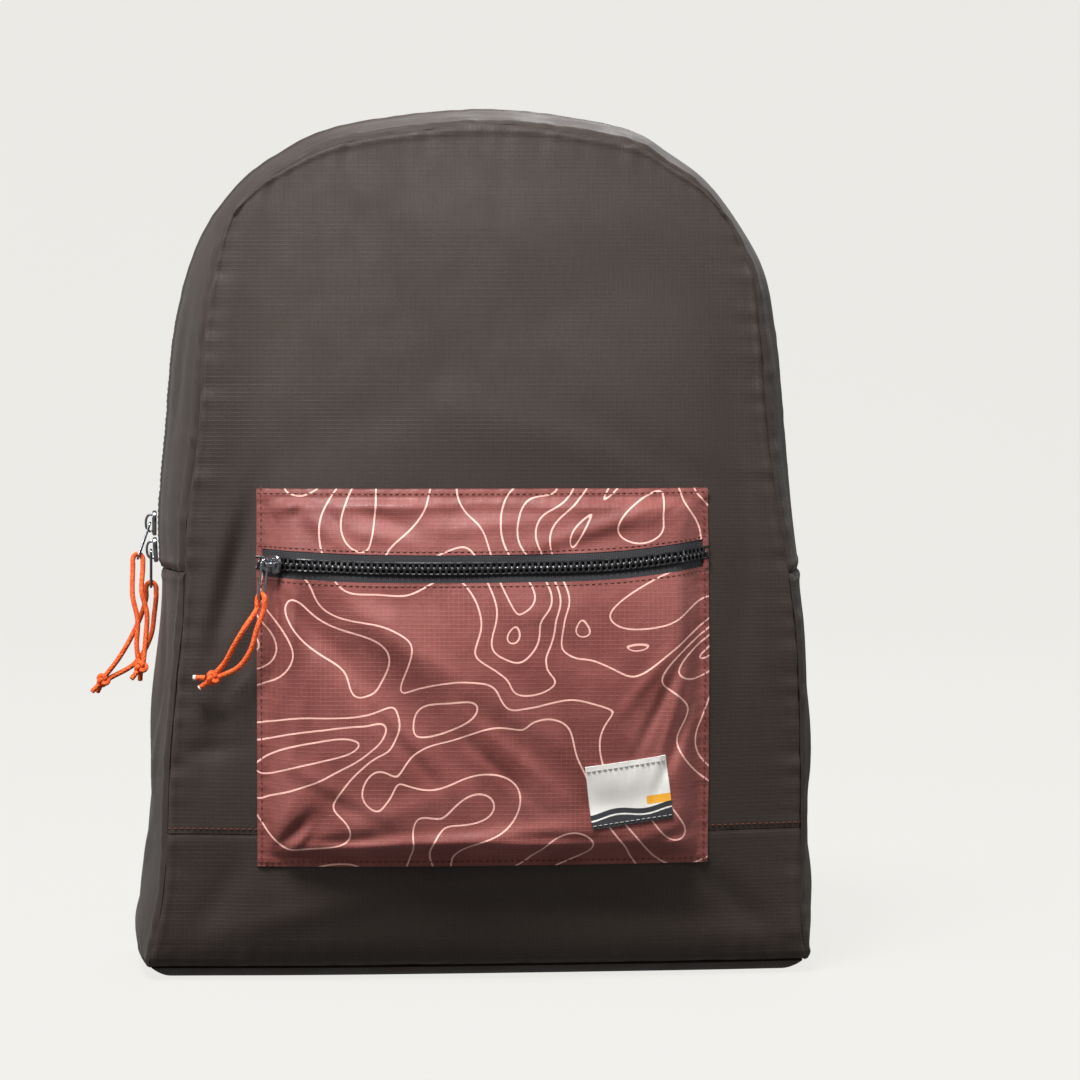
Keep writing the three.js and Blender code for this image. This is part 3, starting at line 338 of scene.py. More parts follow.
# The routes of the part's solids, in millimetres: ring is where the cord turns over the wire.
PULLS = {
    "side_pull_upper": {
        "ring": (-166.64, 0.54, 199.58),
        "a": [(-169.09, 0.11, 196.91), (-169.09, -0.24, 194.74), (-169.14, -3.96, 181.58),
              (-166.64, -5.96, 169.58), (-167.14, -6.96, 157.58), (-166.84, -8.09, 150.4)],
        "b": [(-164.19, 0.11, 196.91), (-164.19, -0.24, 194.74), (-164.64, -4.46, 183.58),
              (-162.14, -4.96, 172.58), (-162.84, -5.96, 159.58), (-163.33, -7.57, 150.27)],
        "knot": (-165.14, -8.46, 146.58),
        "tails": [(-169.64, -10.96, 141.08), (-165.64, -4.96, 140.08)],
        "tails_finish": plain_cord,
    },
    "side_pull_lower": {
        "ring": (-160.36, 5.99, 185.21),
        "a": [(-162.81, 6.37, 182.53), (-162.81, 6.67, 180.35), (-165.36, 8.49, 171.21),
              (-170.86, 8.49, 159.21), (-176.86, 8.49, 149.21), (-182.45, 8.97, 142.41)],
        "b": [(-157.91, 6.37, 182.53), (-157.91, 6.67, 180.35), (-158.86, 8.99, 172.21),
              (-160.86, 9.99, 160.21), (-168.36, 10.99, 147.21), (-180.36, 10.14, 139.79)],
        "knot": (-184.36, 9.49, 138.71),
        "tails": [(-189.86, 7.49, 133.21), (-187.36, 12.49, 132.71)],
        "tails_finish": plain_cord,
    },
    "pocket_pull": {
        "ring": (-106.34, -82.92, 184.57),
        "a": [(-108.22, -81.33, 181.88), (-108.38, -81.48, 179.7), (-113.84, -84.92, 171.57),
              (-119.34, -81.92, 162.07), (-123.34, -78.92, 154.57), (-126.87, -77.31, 150.67)],
        "b": [(-104.85, -84.88, 181.88), (-105.01, -85.03, 179.7), (-108.34, -85.42, 170.57),
              (-111.34, -84.42, 160.57), (-116.84, -81.92, 152.57), (-125.07, -78.15, 147.73)],
        "knot": (-128.84, -76.42, 147.07),
        "tails": [(-138.34, -74.42, 147.07), (-135.44, -74.42, 142.07)],
        "tails_finish": tipped_cord,
    },
}


def overhand_knot(centre, count=140):
    """A tight knot: a line that winds twice round an axis while it rises and falls three times,
    as wide as the knot less the cord."""
    t = np.arange(count) / count * 2 * math.pi
    reach = 2 + np.cos(3 * t)
    line = np.stack([reach * np.cos(2 * t), np.sin(3 * t) * 1.2, reach * np.sin(2 * t)], -1)
    return np.array(centre) + line * (KNOT_RADIUS - CORD_RADIUS) / 3


for name, pull in PULLS.items():
    ring, knot = np.array(pull["ring"]), np.array(pull["knot"])
    for leg in "ab":
        first = np.array(pull[leg][0])
        down = unit(np.array(pull[leg][1]) - first)
        top = ring - down * 2.6
        corner = first - down * 2.5
        bend = corner * 0.7 + ring * 0.3 - down * 1.6
        end = np.array(pull[leg][-1]) * 0.7 + knot * 0.3
        line = smooth_line([top, bend, corner, first, *pull[leg][1:-1], end], 8)
        shape = tube(line, CORD_RADIUS, (0.13, 1.0, 0.07))
        replaced = [f"{name}_cord_{leg}"] + ([f"{name}_hitch"] if leg == "a" else [])
        piece = make_piece(f"{name}_cord_{leg}_braid", shape, plain_cord, "cord", *replaced)
    lump = overhand_knot(knot)
    beside = lump - knot + (0, 0.01, 0)
    lump_points, lump_faces, lump_map = tube(lump, CORD_RADIUS, beside, closed=True)
    parts = [(lump_points, lump_faces, lump_map * (1, 0))]
    for tail in pull["tails"]:
        cut = np.array(tail)
        line = smooth_line([knot * 0.6 + cut * 0.4, knot * 0.3 + cut * 0.7, cut], 6)
        parts.append(tube(line, CORD_RADIUS, (0.1, 1.0, 0.2)))
    knot_piece = make_piece(
        f"{name}_knot_braid", join_shapes(parts), pull["tails_finish"], "cord", f"{name}_knot"
    )

# Front of the bag: one panel of thin ripstop nylon from the band at its foot to the arch, filled
# out from behind. It is sewn to the gusset all round, and its edges roll into the seam.
BAG_HEIGHT, BAG_HALF_WIDTH, HALF_DEPTH = 420.0, 166.0, 60.0
FRONT_CROWN, BACK_CROWN, GUSSET_CROWN = 21.0, 7.0, 14.0
BASE_SEAM_HEIGHT, BAND_HEIGHT, ARCH_HEIGHT, ZIP_END_HEIGHT = 6.0, 72.0, 372.0, 196.0
CLOTH = 1.1

# Each side's reach as a share of the half width, at a share of the height.
OUTLINE = np.array([
    (0.0143, 1.004, 0.985), (0.052, 1.016, 1.0), (0.129, 0.982, 0.988), (0.255, 0.966, 0.985),
    (0.395, 0.939, 0.976), (0.452, 0.931, 0.962), (0.524, 0.936, 0.942), (0.631, 0.914, 0.92),
    (0.738, 0.889, 0.895), (0.812, 0.846, 0.858), (0.864, 0.79, 0.785), (0.919, 0.68, 0.674),
    (0.952, 0.562, 0.562), (0.973, 0.457, 0.482), (0.989, 0.278, 0.315),
])
APEX = (0.04, 1.0)

# Height, seam planes as shares of the half depth, shares of each crown, and the seams' inset.
PROFILE = np.array([
    (0.0, 0.93, 0.94, 0.2, 0.2, 0.1), (0.05, 1.01, 1.0, 0.45, 0.6, 0.75),
    (0.16, 1.04, 1.02, 0.8, 0.9, 0.66), (0.33, 1.06, 1.02, 1.0, 1.0, 0.7),
    (0.46, 1.04, 1.02, 0.98, 1.0, 0.78), (0.63, 0.98, 1.02, 0.86, 1.0, 1.05),
    (0.78, 0.89, 1.0, 0.72, 0.9, 0.9), (0.9, 0.8, 0.97, 0.55, 0.6, 0.58),
    (1.0, 0.72, 0.93, 0.4, 0.4, 0.66),
])
FRONT_PLANE, BACK_PLANE, FRONT_SWELL, BACK_SWELL, INSET = range(1, 6)

# Broad dents and swells: place across and up as shares, reach each way, and depth outwards.
FRONT_FOLDS = [
    (-0.73, 0.44, 0.09, 0.15, -3.6), (-0.6, 0.7, 0.12, 0.1, -2.2), (0.79, 0.5, 0.08, 0.16, -3.4),
    (0.1, 0.62, 0.4, 0.05, 1.6), (0.55, 0.8, 0.2, 0.06, -1.8), (-0.82, 0.11, 0.08, 0.05, -2.6),
    (0.3, 0.07, 0.3, 0.035, -2.2),
]
# Creases: place in mm from the middle and the floor, turn in degrees, length, width, out.
FRONT_CREASES = [
    (-106, 350, 86, 46, 9, -1.9), (-126, 312, 80, 30, 5, 1.5), (-118, 250, 74, 40, 7, -1.3),
    (-119, 196, 76, 26, 5, -6.4), (-131, 182, 76, 24, 4, 1.8), (-118, 148, 62, 22, 5, -2.4),
    (-137, 111, 8, 12, 3.5, -2.2),
    (-128, 118, 75, 26, 5, -1.3), (120, 270, 97, 40, 7, -1.6), (131, 225, 95, 36, 4.5, 1.5),
    (122, 172, 84, 30, 6, -1.8), (133, 120, 98, 26, 4.5, 1.3), (60, 330, 8, 60, 16, -1.0),
    (-30, 372, -6, 60, 12, 0.9), (-60, 268, 30, 46, 10, -0.9), (30, 262, -14, 50, 9, 0.9),
    (80, 252, -26, 34, 7, -1.1), (-20, 46, 2, 60, 5, 1.2), (60, 34, -4, 50, 5, -1.3),
    (-90, 33, 12, 26, 5, 1.4), (-128, 40, 60, 16, 5, -1.6), (120, 38, -40, 20, 5, -1.4),
]


def follow(table, column, at):
    """One column of a table at values of its first, on cubics whose slope at each row is that
    between the rows beside it."""
    keys, values = table[:, 0], table[:, column]
    slope = (np.append(values[1:], values[-1]) - np.insert(values[:-1], 0, values[0])) / (
        np.append(keys[1:], keys[-1]) - np.insert(keys[:-1], 0, keys[0])
    )
    at = np.clip(at, keys[0], keys[-1])
    i = np.clip(np.searchsorted(keys, at, side="right") - 1, 0, len(keys) - 2)
    span = keys[i + 1] - keys[i]
    t = (at - keys[i]) / span
    leave, arrive, rise = slope[i] * span, slope[i + 1] * span, values[i + 1] - values[i]
    return (values[i] + leave * t + (3 * rise - 2 * leave - arrive) * t**2
            + (leave + arrive - 2 * rise) * t**3)


outline_points = np.vstack([
    np.stack([-OUTLINE[:, 1] * BAG_HALF_WIDTH, OUTLINE[:, 0] * BAG_HEIGHT], -1),
    [(APEX[0] * BAG_HALF_WIDTH, APEX[1] * BAG_HEIGHT)],
    np.stack([OUTLINE[::-1, 2] * BAG_HALF_WIDTH, OUTLINE[::-1, 0] * BAG_HEIGHT], -1),
])
crown_line = smooth_line(outline_points, 40)
crown_run = run_of(crown_line)
CROWN_LENGTH = crown_run[-1]
crown_station = crown_run / CROWN_LENGTH
crown_way = unit(np.gradient(crown_line, crown_run, axis=0))
apex_at = len(crown_line) // 2


def station_at(side, height):
    """The station along the crown line where a side stands at a height."""
    if side == "left":
        return np.interp(height, crown_line[: apex_at + 1, 1], crown_station[: apex_at + 1])
    return np.interp(height, crown_line[: apex_at - 1 : -1, 1], crown_station[: apex_at - 1 : -1])


def gusset(station, share):
    """The gusset's outer face: the crown line, less the seams' inset times the distance from the
    middle to the power 2.3, and in depth the share of the way from the front to the back seam."""
    x, z = (np.interp(station, crown_station, crown_line[:, k]) for k in (0, 1))
    way = np.stack([np.interp(station, crown_station, crown_way[:, k]) for k in (0, 1)])
    way = way / np.hypot(*way)
    height = z / BAG_HEIGHT
    fallen = GUSSET_CROWN * follow(PROFILE, INSET, height) * np.abs(2 * share - 1) ** 2.3
    front = -HALF_DEPTH * follow(PROFILE, FRONT_PLANE, height)
    back = HALF_DEPTH * follow(PROFILE, BACK_PLANE, height)
    y = front + (back - front) * share
    return np.stack(np.broadcast_arrays(x + way[1] * fallen, y, z - way[0] * fallen), -1)


LEFT_CORNER, RIGHT_CORNER = station_at("left", ARCH_HEIGHT), station_at("right", ARCH_HEIGHT)


def blend(a, b, share):
    """From one to the other by a share."""
    return a + (b - a) * np.asarray(share)[..., None]


def bumps(x, z, rows):
    """Sum of oval hills: each falls away from its place as a bell, along and across its turn."""
    total = np.zeros(np.broadcast(x, z).shape)
    for at_x, at_z, turn, long, wide, out in rows:
        c, s = math.cos(math.radians(turn)), math.sin(math.radians(turn))
        along = ((x - at_x) * c + (z - at_z) * s) / long
        aside = ((z - at_z) * c - (x - at_x) * s) / wide
        total = total + out * np.exp(-(along**2 + aside**2) / 2)
    return total


def face(side, column, row, fine=1.0):
    """The front or back face: rows drawn between the seams at one height on the two sides, bent
    up under the arch by the cube of their height, and crowned outwards across."""
    share = 0.0 if side == "front" else 1.0
    up = np.clip((row - BASE_SEAM_HEIGHT) / (ARCH_HEIGHT - BASE_SEAM_HEIGHT), 0, None)
    left, right = gusset(station_at("left", row), share), gusset(station_at("right", row), share)
    arch = gusset(LEFT_CORNER + (RIGHT_CORNER - LEFT_CORNER) * column, share)
    corners = blend(gusset(LEFT_CORNER, share), gusset(RIGHT_CORNER, share), column)
    point = blend(left, right, column) + (arch - corners) * (up**3)[..., None]
    off = np.abs(2 * column - 1)
    crown = (1 - off**2.4) * (1 - up**6)
    x, z = point[..., 0], point[..., 2]
    height = z / BAG_HEIGHT
    if side == "back":
        point[..., 1] += BACK_CROWN * follow(PROFILE, BACK_SWELL, height) * crown
        return point
    point[..., 1] -= FRONT_CROWN * follow(PROFILE, FRONT_SWELL, height) * crown
    clear = (1 - off**8) * (1 - up**8)
    for across, at, wide, tall, out in FRONT_FOLDS:
        away = ((x / BAG_HALF_WIDTH - across) / wide) ** 2 + ((height - at) / tall) ** 2
        point[..., 1] -= out * np.exp(-away / 2) * clear
    point[..., 1] -= fine * clear * bumps(x, z, FRONT_CREASES)
    return point


def face_at(side, x, z, fine=1.0):
    """The face at a place seen from the front, found by stepping towards it seven times."""
    column, row = 0.5 + x / (2 * BAG_HALF_WIDTH), z * 1.0
    for _ in range(7):
        point = face(side, column, row, fine)
        column = column + (x - point[..., 0]) / (1.9 * BAG_HALF_WIDTH)
        row = row + z - point[..., 2]
    return point


def smooth_step(value, low, high):
    """From 0 at low to 1 at high, level at both ends."""
    t = np.clip((value - low) / (high - low), 0, 1)
    return t * t * (3 - 2 * t)


def eased(low, high, steps, ease=0.6):
    """From low to high in steps that shrink towards both ends."""
    t = np.linspace(0, 1, steps + 1)
    return low + (high - low) * (t - ease * np.sin(2 * math.pi * t) / (2 * math.pi))


def normals_of(grid):
    """Outward directions of a grid: across its columns, then up its rows."""
    return unit(np.cross(np.gradient(grid, axis=1), np.gradient(grid, axis=0)))


def ripple(at, pitch, seed):
    """An uneven wave: four sines of unlike lengths about the pitch, with fixed phases."""
    phases = np.random.default_rng(seed).uniform(0, 2 * math.pi, 4)
    lengths = pitch * np.array([1.0, 0.73, 1.41, 2.3])
    waves = [np.sin(2 * math.pi * at / w + p) for w, p in zip(lengths, phases)]
    return sum(waves) / 2.4


def runs_of(grid):
    """Distances over a grid, from its left edge along its rows and from its lower edge up its
    columns."""
    across = np.linalg.norm(np.diff(grid, axis=1), axis=-1)
    upward = np.linalg.norm(np.diff(grid, axis=0), axis=-1)
    run_x = np.concatenate([np.zeros((len(grid), 1)), np.cumsum(across, axis=1)], axis=1)
    run_z = np.concatenate([np.zeros((1, grid.shape[1])), np.cumsum(upward, axis=0)], axis=0)
    return run_x, run_z


def sewn(grid, seed, edges="lrbt", reach=8.0, pitch=13.0, **own):
    """A panel's grid worked at its seams: within about 1.5 mm of an edge the cloth rolls under,
    beside that it stands up over the seam allowance, and it puckers unevenly along the seam.
    An edge may have its own roll, ridge and pucker in millimetres."""
    normal = normals_of(grid)
    run_x, run_z = runs_of(grid)
    ways = {"l": (run_x, run_z), "r": (run_x[:, -1:] - run_x, run_z),
            "b": (run_z, run_x), "t": (run_z[-1:] - run_z, run_x)}
    out = np.zeros(grid.shape[:2])
    for k, edge in enumerate(edges):
        off, on = ways[edge]
        roll, ridge, pucker = own.get(edge, (0.9, 0.4, 0.45))
        depth = roll * (0.8 + 0.25 * ripple(on, 50, seed * 10 + k + 5))
        out -= depth * np.exp(-((off / 1.2) ** 2))
        out += ridge * np.exp(-(((off - 3.6) / 1.7) ** 2))
        out += pucker * np.exp(-off / reach) * (1 - np.exp(-off)) * ripple(on, pitch, seed * 10 + k)
    return grid + normal * out[..., None]


def arch_roll(grid, deep):
    """How deep the seam over the arch is drawn in: least at the crown, a little off the middle."""
    crown = np.exp(-(((grid[..., 0] - 8) / 46) ** 2)) * (grid[..., 2] > 300)
    return deep * (1 - 0.8 * crown)


def tucked(grid):
    """The cloth rounded in under the bag: below 18 mm it draws in towards the base seam."""
    low = (1 - smooth_step(grid[..., 2], BASE_SEAM_HEIGHT, 18.0)) ** 2
    return grid * np.stack([1 - 0.004 * low, 1 - 0.03 * low, 1 + 0 * low], -1)


def cloth(grid, cloth_map, thickness=CLOTH):
    """A closed wall: the grid, the same grid one thickness under it, and a rim of quads."""
    rows, columns = grid.shape[:2]
    count = rows * columns
    inner = grid - normals_of(grid) * thickness
    index = np.arange(count).reshape(rows, columns)
    rim = np.concatenate([index[0, :-1], index[:-1, -1], index[-1, :0:-1], index[:0:-1, 0]])
    ahead = np.roll(rim, -1)
    faces = np.vstack([
        lattice(rows, columns),
        lattice(rows, columns, count)[:, ::-1],
        np.stack([ahead, rim, rim + count, ahead + count], -1),
    ])
    flat_map = cloth_map.reshape(-1, 2)
    return np.vstack([grid.reshape(-1, 3), inner.reshape(-1, 3)]), faces, np.vstack([flat_map] * 2)


def map_of(grid, across=0, up=2):
    """A flat pattern's map in metres, straight along two of the bag's own directions."""
    return grid[..., [across, up]] * MM


def map_along(grid):
    """A map in metres that follows the cloth, along its columns and its rows."""
    return np.stack(runs_of(grid), -1) * MM


def body_finish(name):
    """Dark olive-brown ripstop: a fine weave with a thicker thread every 2.2 mm up and 1.9 mm
    across, slightly uneven in shade, with a dull nylon shine."""
    made = Finish(name, linear(53, 44, 39), 0.62, specular=0.35)
    u, v, _ = made.across_and_along()
    grid = made.math("MAXIMUM", made.threads(u, 0.0022, 0.13),
                     made.math("MULTIPLY", made.threads(v, 0.0019, 0.12), 0.7))
    weave = made.math("MULTIPLY", made.threads(u, 0.00055, 0.35), made.threads(v, 0.00055, 0.35))
    shade = made.mix(made.ramp(made.noise(9, 3), 0.3, 0.72), linear(48, 38, 34), linear(56, 46, 40))
    shade = made.mix(made.math("MULTIPLY", weave, 0.35), shade, linear(37, 30, 27))
    made.colour(made.mix(made.math("MULTIPLY", grid, 0.13), shade, linear(74, 63, 56)))
    made.rough(made.ramp(made.noise(60, 3), 0.3, 0.7, 0.54, 0.68))
    fine = made.bump(weave, 0.00008, 0.5)
    made.bump(grid, 0.00012, 0.7, fine)
    made.shader.inputs["Sheen Weight"].default_value = 0.08
    made.shader.inputs["Sheen Roughness"].default_value = 0.4
    return made.material


body_cloth = body_finish("body_ripstop")


def body_panel(name, grid, cloth_map, node):
    """A wall of the body cloth over a grid, in place of one solid."""
    make_piece(name, cloth(grid, cloth_map), body_cloth, "body_cloth", node)


# How deep the cloth rolls into the seam over the arch, and how much deeper two slits lie.
ARCH_SEAM_ROLL, SLIT_DEPTH = 4.6, 3.0

columns = eased(0.0007, 0.9993, 176)
front_rows = eased(BAND_HEIGHT + 0.2, ARCH_HEIGHT - 0.1, 190, 0.4)
front_grid = face("front", columns[None, :], front_rows[:, None])
deep = arch_roll(front_grid, ARCH_SEAM_ROLL)
left_deep = deep + SLIT_DEPTH * np.exp(-(((front_grid[..., 2] - 162) / 16) ** 2))
right_deep = deep + SLIT_DEPTH * np.exp(-(((front_grid[..., 2] - 312) / 18) ** 2))
front_seams = {
    "l": (left_deep, 0.5, 0.6), "r": (right_deep, 0.5, 0.6), "t": (deep, 0.6, 0.6), "b": (0.25, 0.05, 0.15),
}
front_grid = sewn(front_grid, 3, **front_seams)
body_panel("front_cloth", front_grid, map_of(front_grid), "front_panel")

# The band along the foot of the front: the same cloth, sewn on under the front panel, which is
# topstitched to it in rust-coloured thread, 2.5 mm over the seam.
STITCH_LENGTH, STITCH_PITCH, STITCH_WIDTH = 2.2, 3.0, 0.55

band_rows = eased(BASE_SEAM_HEIGHT + 0.2, BAND_HEIGHT - 0.2, 44)
band_grid = face("front", columns[None, :], band_rows[:, None])
side_seam = (2.2, 0.5, 0.4)
band_grid = tucked(sewn(band_grid, 4, l=side_seam, r=side_seam, t=(0.3, 0.05, 0.1)))
body_panel("band_cloth", band_grid, map_of(band_grid), "lower_front_band")


def thread_finish(name, colour):
    """Sewing thread: two plies twisted, so dark turns run aslant over each stitch."""
    made = Finish(name, colour, 0.6, specular=0.4)
    ply = made.noise(2600, 1)
    made.colour(made.mix(made.ramp(ply, 0.3, 0.7), tuple(0.6 * c for c in colour[:3]) + (1,), colour))
    made.bump(ply, 0.0001, 0.5)
    return made.material


rust_thread = thread_finish("rust_thread", linear(116, 64, 48))

# One stitch lies along Y: three rings of five points, thick in the middle and sunk at its ends.
five = np.arange(5) / 5 * 2 * math.pi
stitch_rings = [
    (-0.5, 0.25, -0.5), (-0.34, 0.8, 0.25), (0.0, 1.0, 0.5), (0.34, 0.8, 0.25), (0.5, 0.25, -0.5),
]
STITCH_POINTS = np.array([
    (wide * math.cos(t) / 2, y, rise + wide * math.sin(t) / 2)
    for y, wide, rise in stitch_rings for t in five
]) * (STITCH_WIDTH, STITCH_LENGTH, STITCH_WIDTH)
STITCH_FACES = lattice(5, 5, wrap_columns=True).tolist() + [[4, 3, 2, 1, 0], [20, 21, 22, 23, 24]]


def strew(points, faces, at, along, out):
    """The same small shape at many places, its Y along and its Z out from what it lies on."""
    out = unit(out - along * np.sum(out * along, -1, keepdims=True))
    aside = np.cross(along, out)
    placed = (at[:, None] + points[None, :, :1] * aside[:, None] + points[None, :, 1:2] * along[:, None]
              + points[None, :, 2:] * out[:, None])
    count, size = len(at), len(points)
    groups = {}
    for each in faces:
        groups.setdefault(len(each), []).append(each)
    offsets = np.arange(count)[:, None, None] * size
    all_faces = []
    for group in groups.values():
        all_faces += (np.array(group)[None] + offsets).reshape(-1, len(group[0])).tolist()
    maps = np.zeros((count * size, 2))
    return placed.reshape(-1, 3), all_faces, maps


def read_at(values, run, at):
    """The rows of a table that lie at distances along a line."""
    return np.stack([np.interp(at, run, values[:, k]) for k in range(values.shape[1])], -1)


def stitch_row(line, out, pitch=STITCH_PITCH):
    """Stitches at a pitch along a line of points, with the outward directions beside it."""
    run = run_of(line)
    at = np.arange(pitch / 2, run[-1], pitch)
    way = unit(read_at(line, run, at + 0.6) - read_at(line, run, at - 0.6))
    normal = unit(read_at(out, run, at))
    return strew(STITCH_POINTS, STITCH_FACES, read_at(line, run, at), way, normal)


def line_in(grid, row=None, column=None):
    """A line and its outward directions, at a fractional row or column of a grid."""
    normal = normals_of(grid)
    if row is not None:
        k, f = int(row), row - int(row)
        return grid[k] * (1 - f) + grid[k + 1] * f, normal[k]
    k, f = int(column), column - int(column)
    return grid[:, k] * (1 - f) + grid[:, k + 1] * f, normal[:, k]


def row_off(grid, distance, edge):
    """The fractional row that lies a distance from the bottom or top edge, in mid grid."""
    middle = grid[:, grid.shape[1] // 2]
    run = run_of(middle)
    place = distance if edge == "b" else run[-1] - distance
    return float(np.interp(place, run, np.arange(len(run))))


def column_off(grid, distance, edge):
    """The fractional column that lies a distance from the left or right edge, in mid grid."""
    middle = grid[grid.shape[0] // 2]
    run = run_of(middle)
    place = distance if edge == "l" else run[-1] - distance
    return float(np.interp(place, run, np.arange(len(run))))


band_stitches = stitch_row(*line_in(front_grid, row=row_off(front_grid, 2.6, "b")))
make_piece("band_stitches", band_stitches, rust_thread, "body_cloth")

# Sides below the zip: one plain panel of the same cloth on each side, sewn to the front, the
# back and the base, soft and a little creased where the bag stands on it.
SIDE_CREASES = {
    "left": [(0.2, 150, 80, 22, 4, -2.2), (0.34, 128, 62, 22, 5, 1.8), (0.16, 118, 100, 18, 3, 1.4),
             (0.5, 90, 30, 24, 7, -1.6), (0.3, 60, 130, 18, 6, 1.6), (0.7, 150, 70, 30, 8, -1.8),
             (0.6, 40, 20, 26, 6, -1.2)],
    "right": [(0.3, 150, 100, 26, 5, -2.0), (0.2, 110, 70, 20, 4, 1.6), (0.6, 120, 120, 28, 8, -1.8),
              (0.4, 70, 150, 24, 6, -1.6), (0.25, 45, 40, 18, 5, 1.4), (0.75, 60, 60, 26, 7, -1.4)],
}


def gusset_panel(stations, shares, creases, seed, **seams):
    """A grid of the gusset, with creases placed by share of its depth and by height."""
    grid = gusset(stations[:, None], shares[None, :])
    if np.cross(grid[0, 1] - grid[0, 0], grid[1, 0] - grid[0, 0])[0] * grid[0, 0, 0] < 0:
        grid = grid[:, ::-1]
        shares = shares[::-1]
    depth = shares[None, :] * 2 * HALF_DEPTH + 0 * grid[..., 2]
    rows = [(at * 2 * HALF_DEPTH, *rest) for at, *rest in creases]
    grid = grid + normals_of(grid) * bumps(depth, grid[..., 2], rows)[..., None]
    return tucked(sewn(grid, seed, **seams))


for side, seed in (("left", 6), ("right", 7)):
    heights = eased(BASE_SEAM_HEIGHT + 0.2, ZIP_END_HEIGHT - 0.2, 90)
    stations, shares = station_at(side, heights), eased(0.002, 0.998, 70)
    seams = {"l": (1.6, 0.4, 0.45), "r": (1.6, 0.4, 0.45)}
    side_grid = gusset_panel(stations, shares, SIDE_CREASES[side], seed, **seams)
    body_panel(f"side_cloth_{side}", side_grid, map_along(side_grid), f"side_panel_{side}")

# Gusset over the arch: two strips of the body cloth, each folded back along the zip and
# topstitched to its tape, and sewn to the front or the back panel.
ZIP_PLACE = 0.53
TAPE_WIDTH, CHAIN_WIDTH, CHAIN_RISE, TAPE_SINK = 13.0, 5.6, 1.5, 0.6
FOLDED_EDGE, GUSSET_SEAM_ROLL = (0.3, 1.3, 0.2), 3.4
tape_share = TAPE_WIDTH / (2 * HALF_DEPTH)
FRONT_EDGE, BACK_EDGE = ZIP_PLACE - tape_share / 2, ZIP_PLACE + tape_share / 2
arch_stations = np.concatenate([
    [station_at("left", ZIP_END_HEIGHT + 0.2)],
    np.linspace(station_at("left", ZIP_END_HEIGHT + 1), station_at("right", ZIP_END_HEIGHT + 1), 420),
    [station_at("right", ZIP_END_HEIGHT + 0.2)],
])
ARCH_CREASES = [
    (0.2, 60, 80, 20, 5, -1.4), (0.15, 120, 100, 24, 5, -1.2), (0.3, 200, 90, 30, 7, 1.0),
    (0.2, 300, 80, 30, 6, -1.2), (0.3, 380, 95, 24, 6, -1.0), (0.2, 520, 85, 26, 5, -1.3),
    (0.2, 620, 100, 24, 5, -1.4), (0.75, 150, 90, 30, 8, -1.4), (0.8, 330, 80, 30, 8, -1.2),
    (0.75, 520, 95, 34, 8, -1.4),
]
arch_stitches = []
for name, shares, zip_edge, seed in (
    ("front", eased(0.002, FRONT_EDGE - 0.002, 26), "r", 8),
    ("back", eased(BACK_EDGE + 0.002, 0.998, 26), "l", 9),
):
    strip = gusset(arch_stations[:, None], shares[None, :])[::-1]
    run = run_of(strip[:, 0])[:, None] + 0 * strip[..., 2]
    depth = shares[None, :] * 2 * HALF_DEPTH + 0 * strip[..., 2]
    rows = [(at * 2 * HALF_DEPTH, *rest) for at, *rest in ARCH_CREASES]
    outwards = normals_of(strip)
    if outwards[len(strip) // 2, 5, 2] < 0:
        strip, run, depth = strip[::-1], run[::-1], depth[::-1]
        outwards = normals_of(strip)
    strip = strip + outwards * bumps(depth, run, rows)[..., None]
    sewn_edge = "l" if zip_edge == "r" else "r"
    seams = {zip_edge: FOLDED_EDGE, sewn_edge: (arch_roll(strip, GUSSET_SEAM_ROLL), 0.5, 0.45)}
    strip = sewn(strip, seed, **seams)
    body_panel(f"gusset_cloth_{name}", strip, map_along(strip), f"gusset_{name}_strip")
    line, out = line_in(strip, column=column_off(strip, 2.4, zip_edge))
    arch_stitches.append(stitch_row(line, out))
dark_thread = thread_finish("dark_thread", linear(66, 56, 52))
make_piece("gusset_stitches", join_shapes(arch_stitches), dark_thread, "body_cloth")

# Base: one flat panel that the bag stands on, sewn all round 6 mm over the floor. Its rim lies
# a little in under the walls.
BASE_ROUND = 11.0
BASE_INSET = (0.985, 0.95, 1.0)


def base_place(share, column):
    """The base's outline filled in: the sum of its two pairs of edges less its four corners,
    lifted to the seam within the rounding of its rim."""
    front, back = (face(s, column, np.array([[BASE_SEAM_HEIGHT]]), 0.0) for s in ("front", "back"))
    left_at, right_at = (station_at(s, BASE_SEAM_HEIGHT) for s in ("left", "right"))
    left, right = gusset(left_at, share), gusset(right_at, share)
    front_corners = blend(gusset(left_at, 0.0), gusset(right_at, 0.0), column)
    back_corners = blend(gusset(left_at, 1.0), gusset(right_at, 1.0), column)
    corners = blend(front_corners, back_corners, share)
    point = blend(front, back, share) + blend(left, right, column) - corners
    across_off = np.minimum(column, 1 - column) * 2 * BAG_HALF_WIDTH
    depth_off = np.minimum(share, 1 - share) * 2 * HALF_DEPTH
    off = np.minimum(across_off, depth_off)
    rim = np.clip(1 - off / BASE_ROUND, 0, 1)
    point[..., 2] = 0.25 + (BASE_SEAM_HEIGHT - 0.6) * rim**1.6
    return tucked(point) * BASE_INSET


base_grid = base_place(eased(0.002, 0.998, 60)[:, None], eased(0.001, 0.999, 120)[None, :])[:, ::-1]
body_panel("base_cloth", base_grid, map_of(base_grid, 0, 1), "base_panel")

# Back: a plain panel of the same cloth, which lies on the wearer's back.
back_rows = eased(BASE_SEAM_HEIGHT + 0.2, ARCH_HEIGHT - 0.1, 120)
back_grid = face("back", eased(0.0007, 0.9993, 110)[None, :], back_rows[:, None])
back_grid = tucked(sewn(back_grid[:, ::-1], 12, l=side_seam, r=side_seam))
body_panel("back_cloth", back_grid, map_of(back_grid), "back_panel")

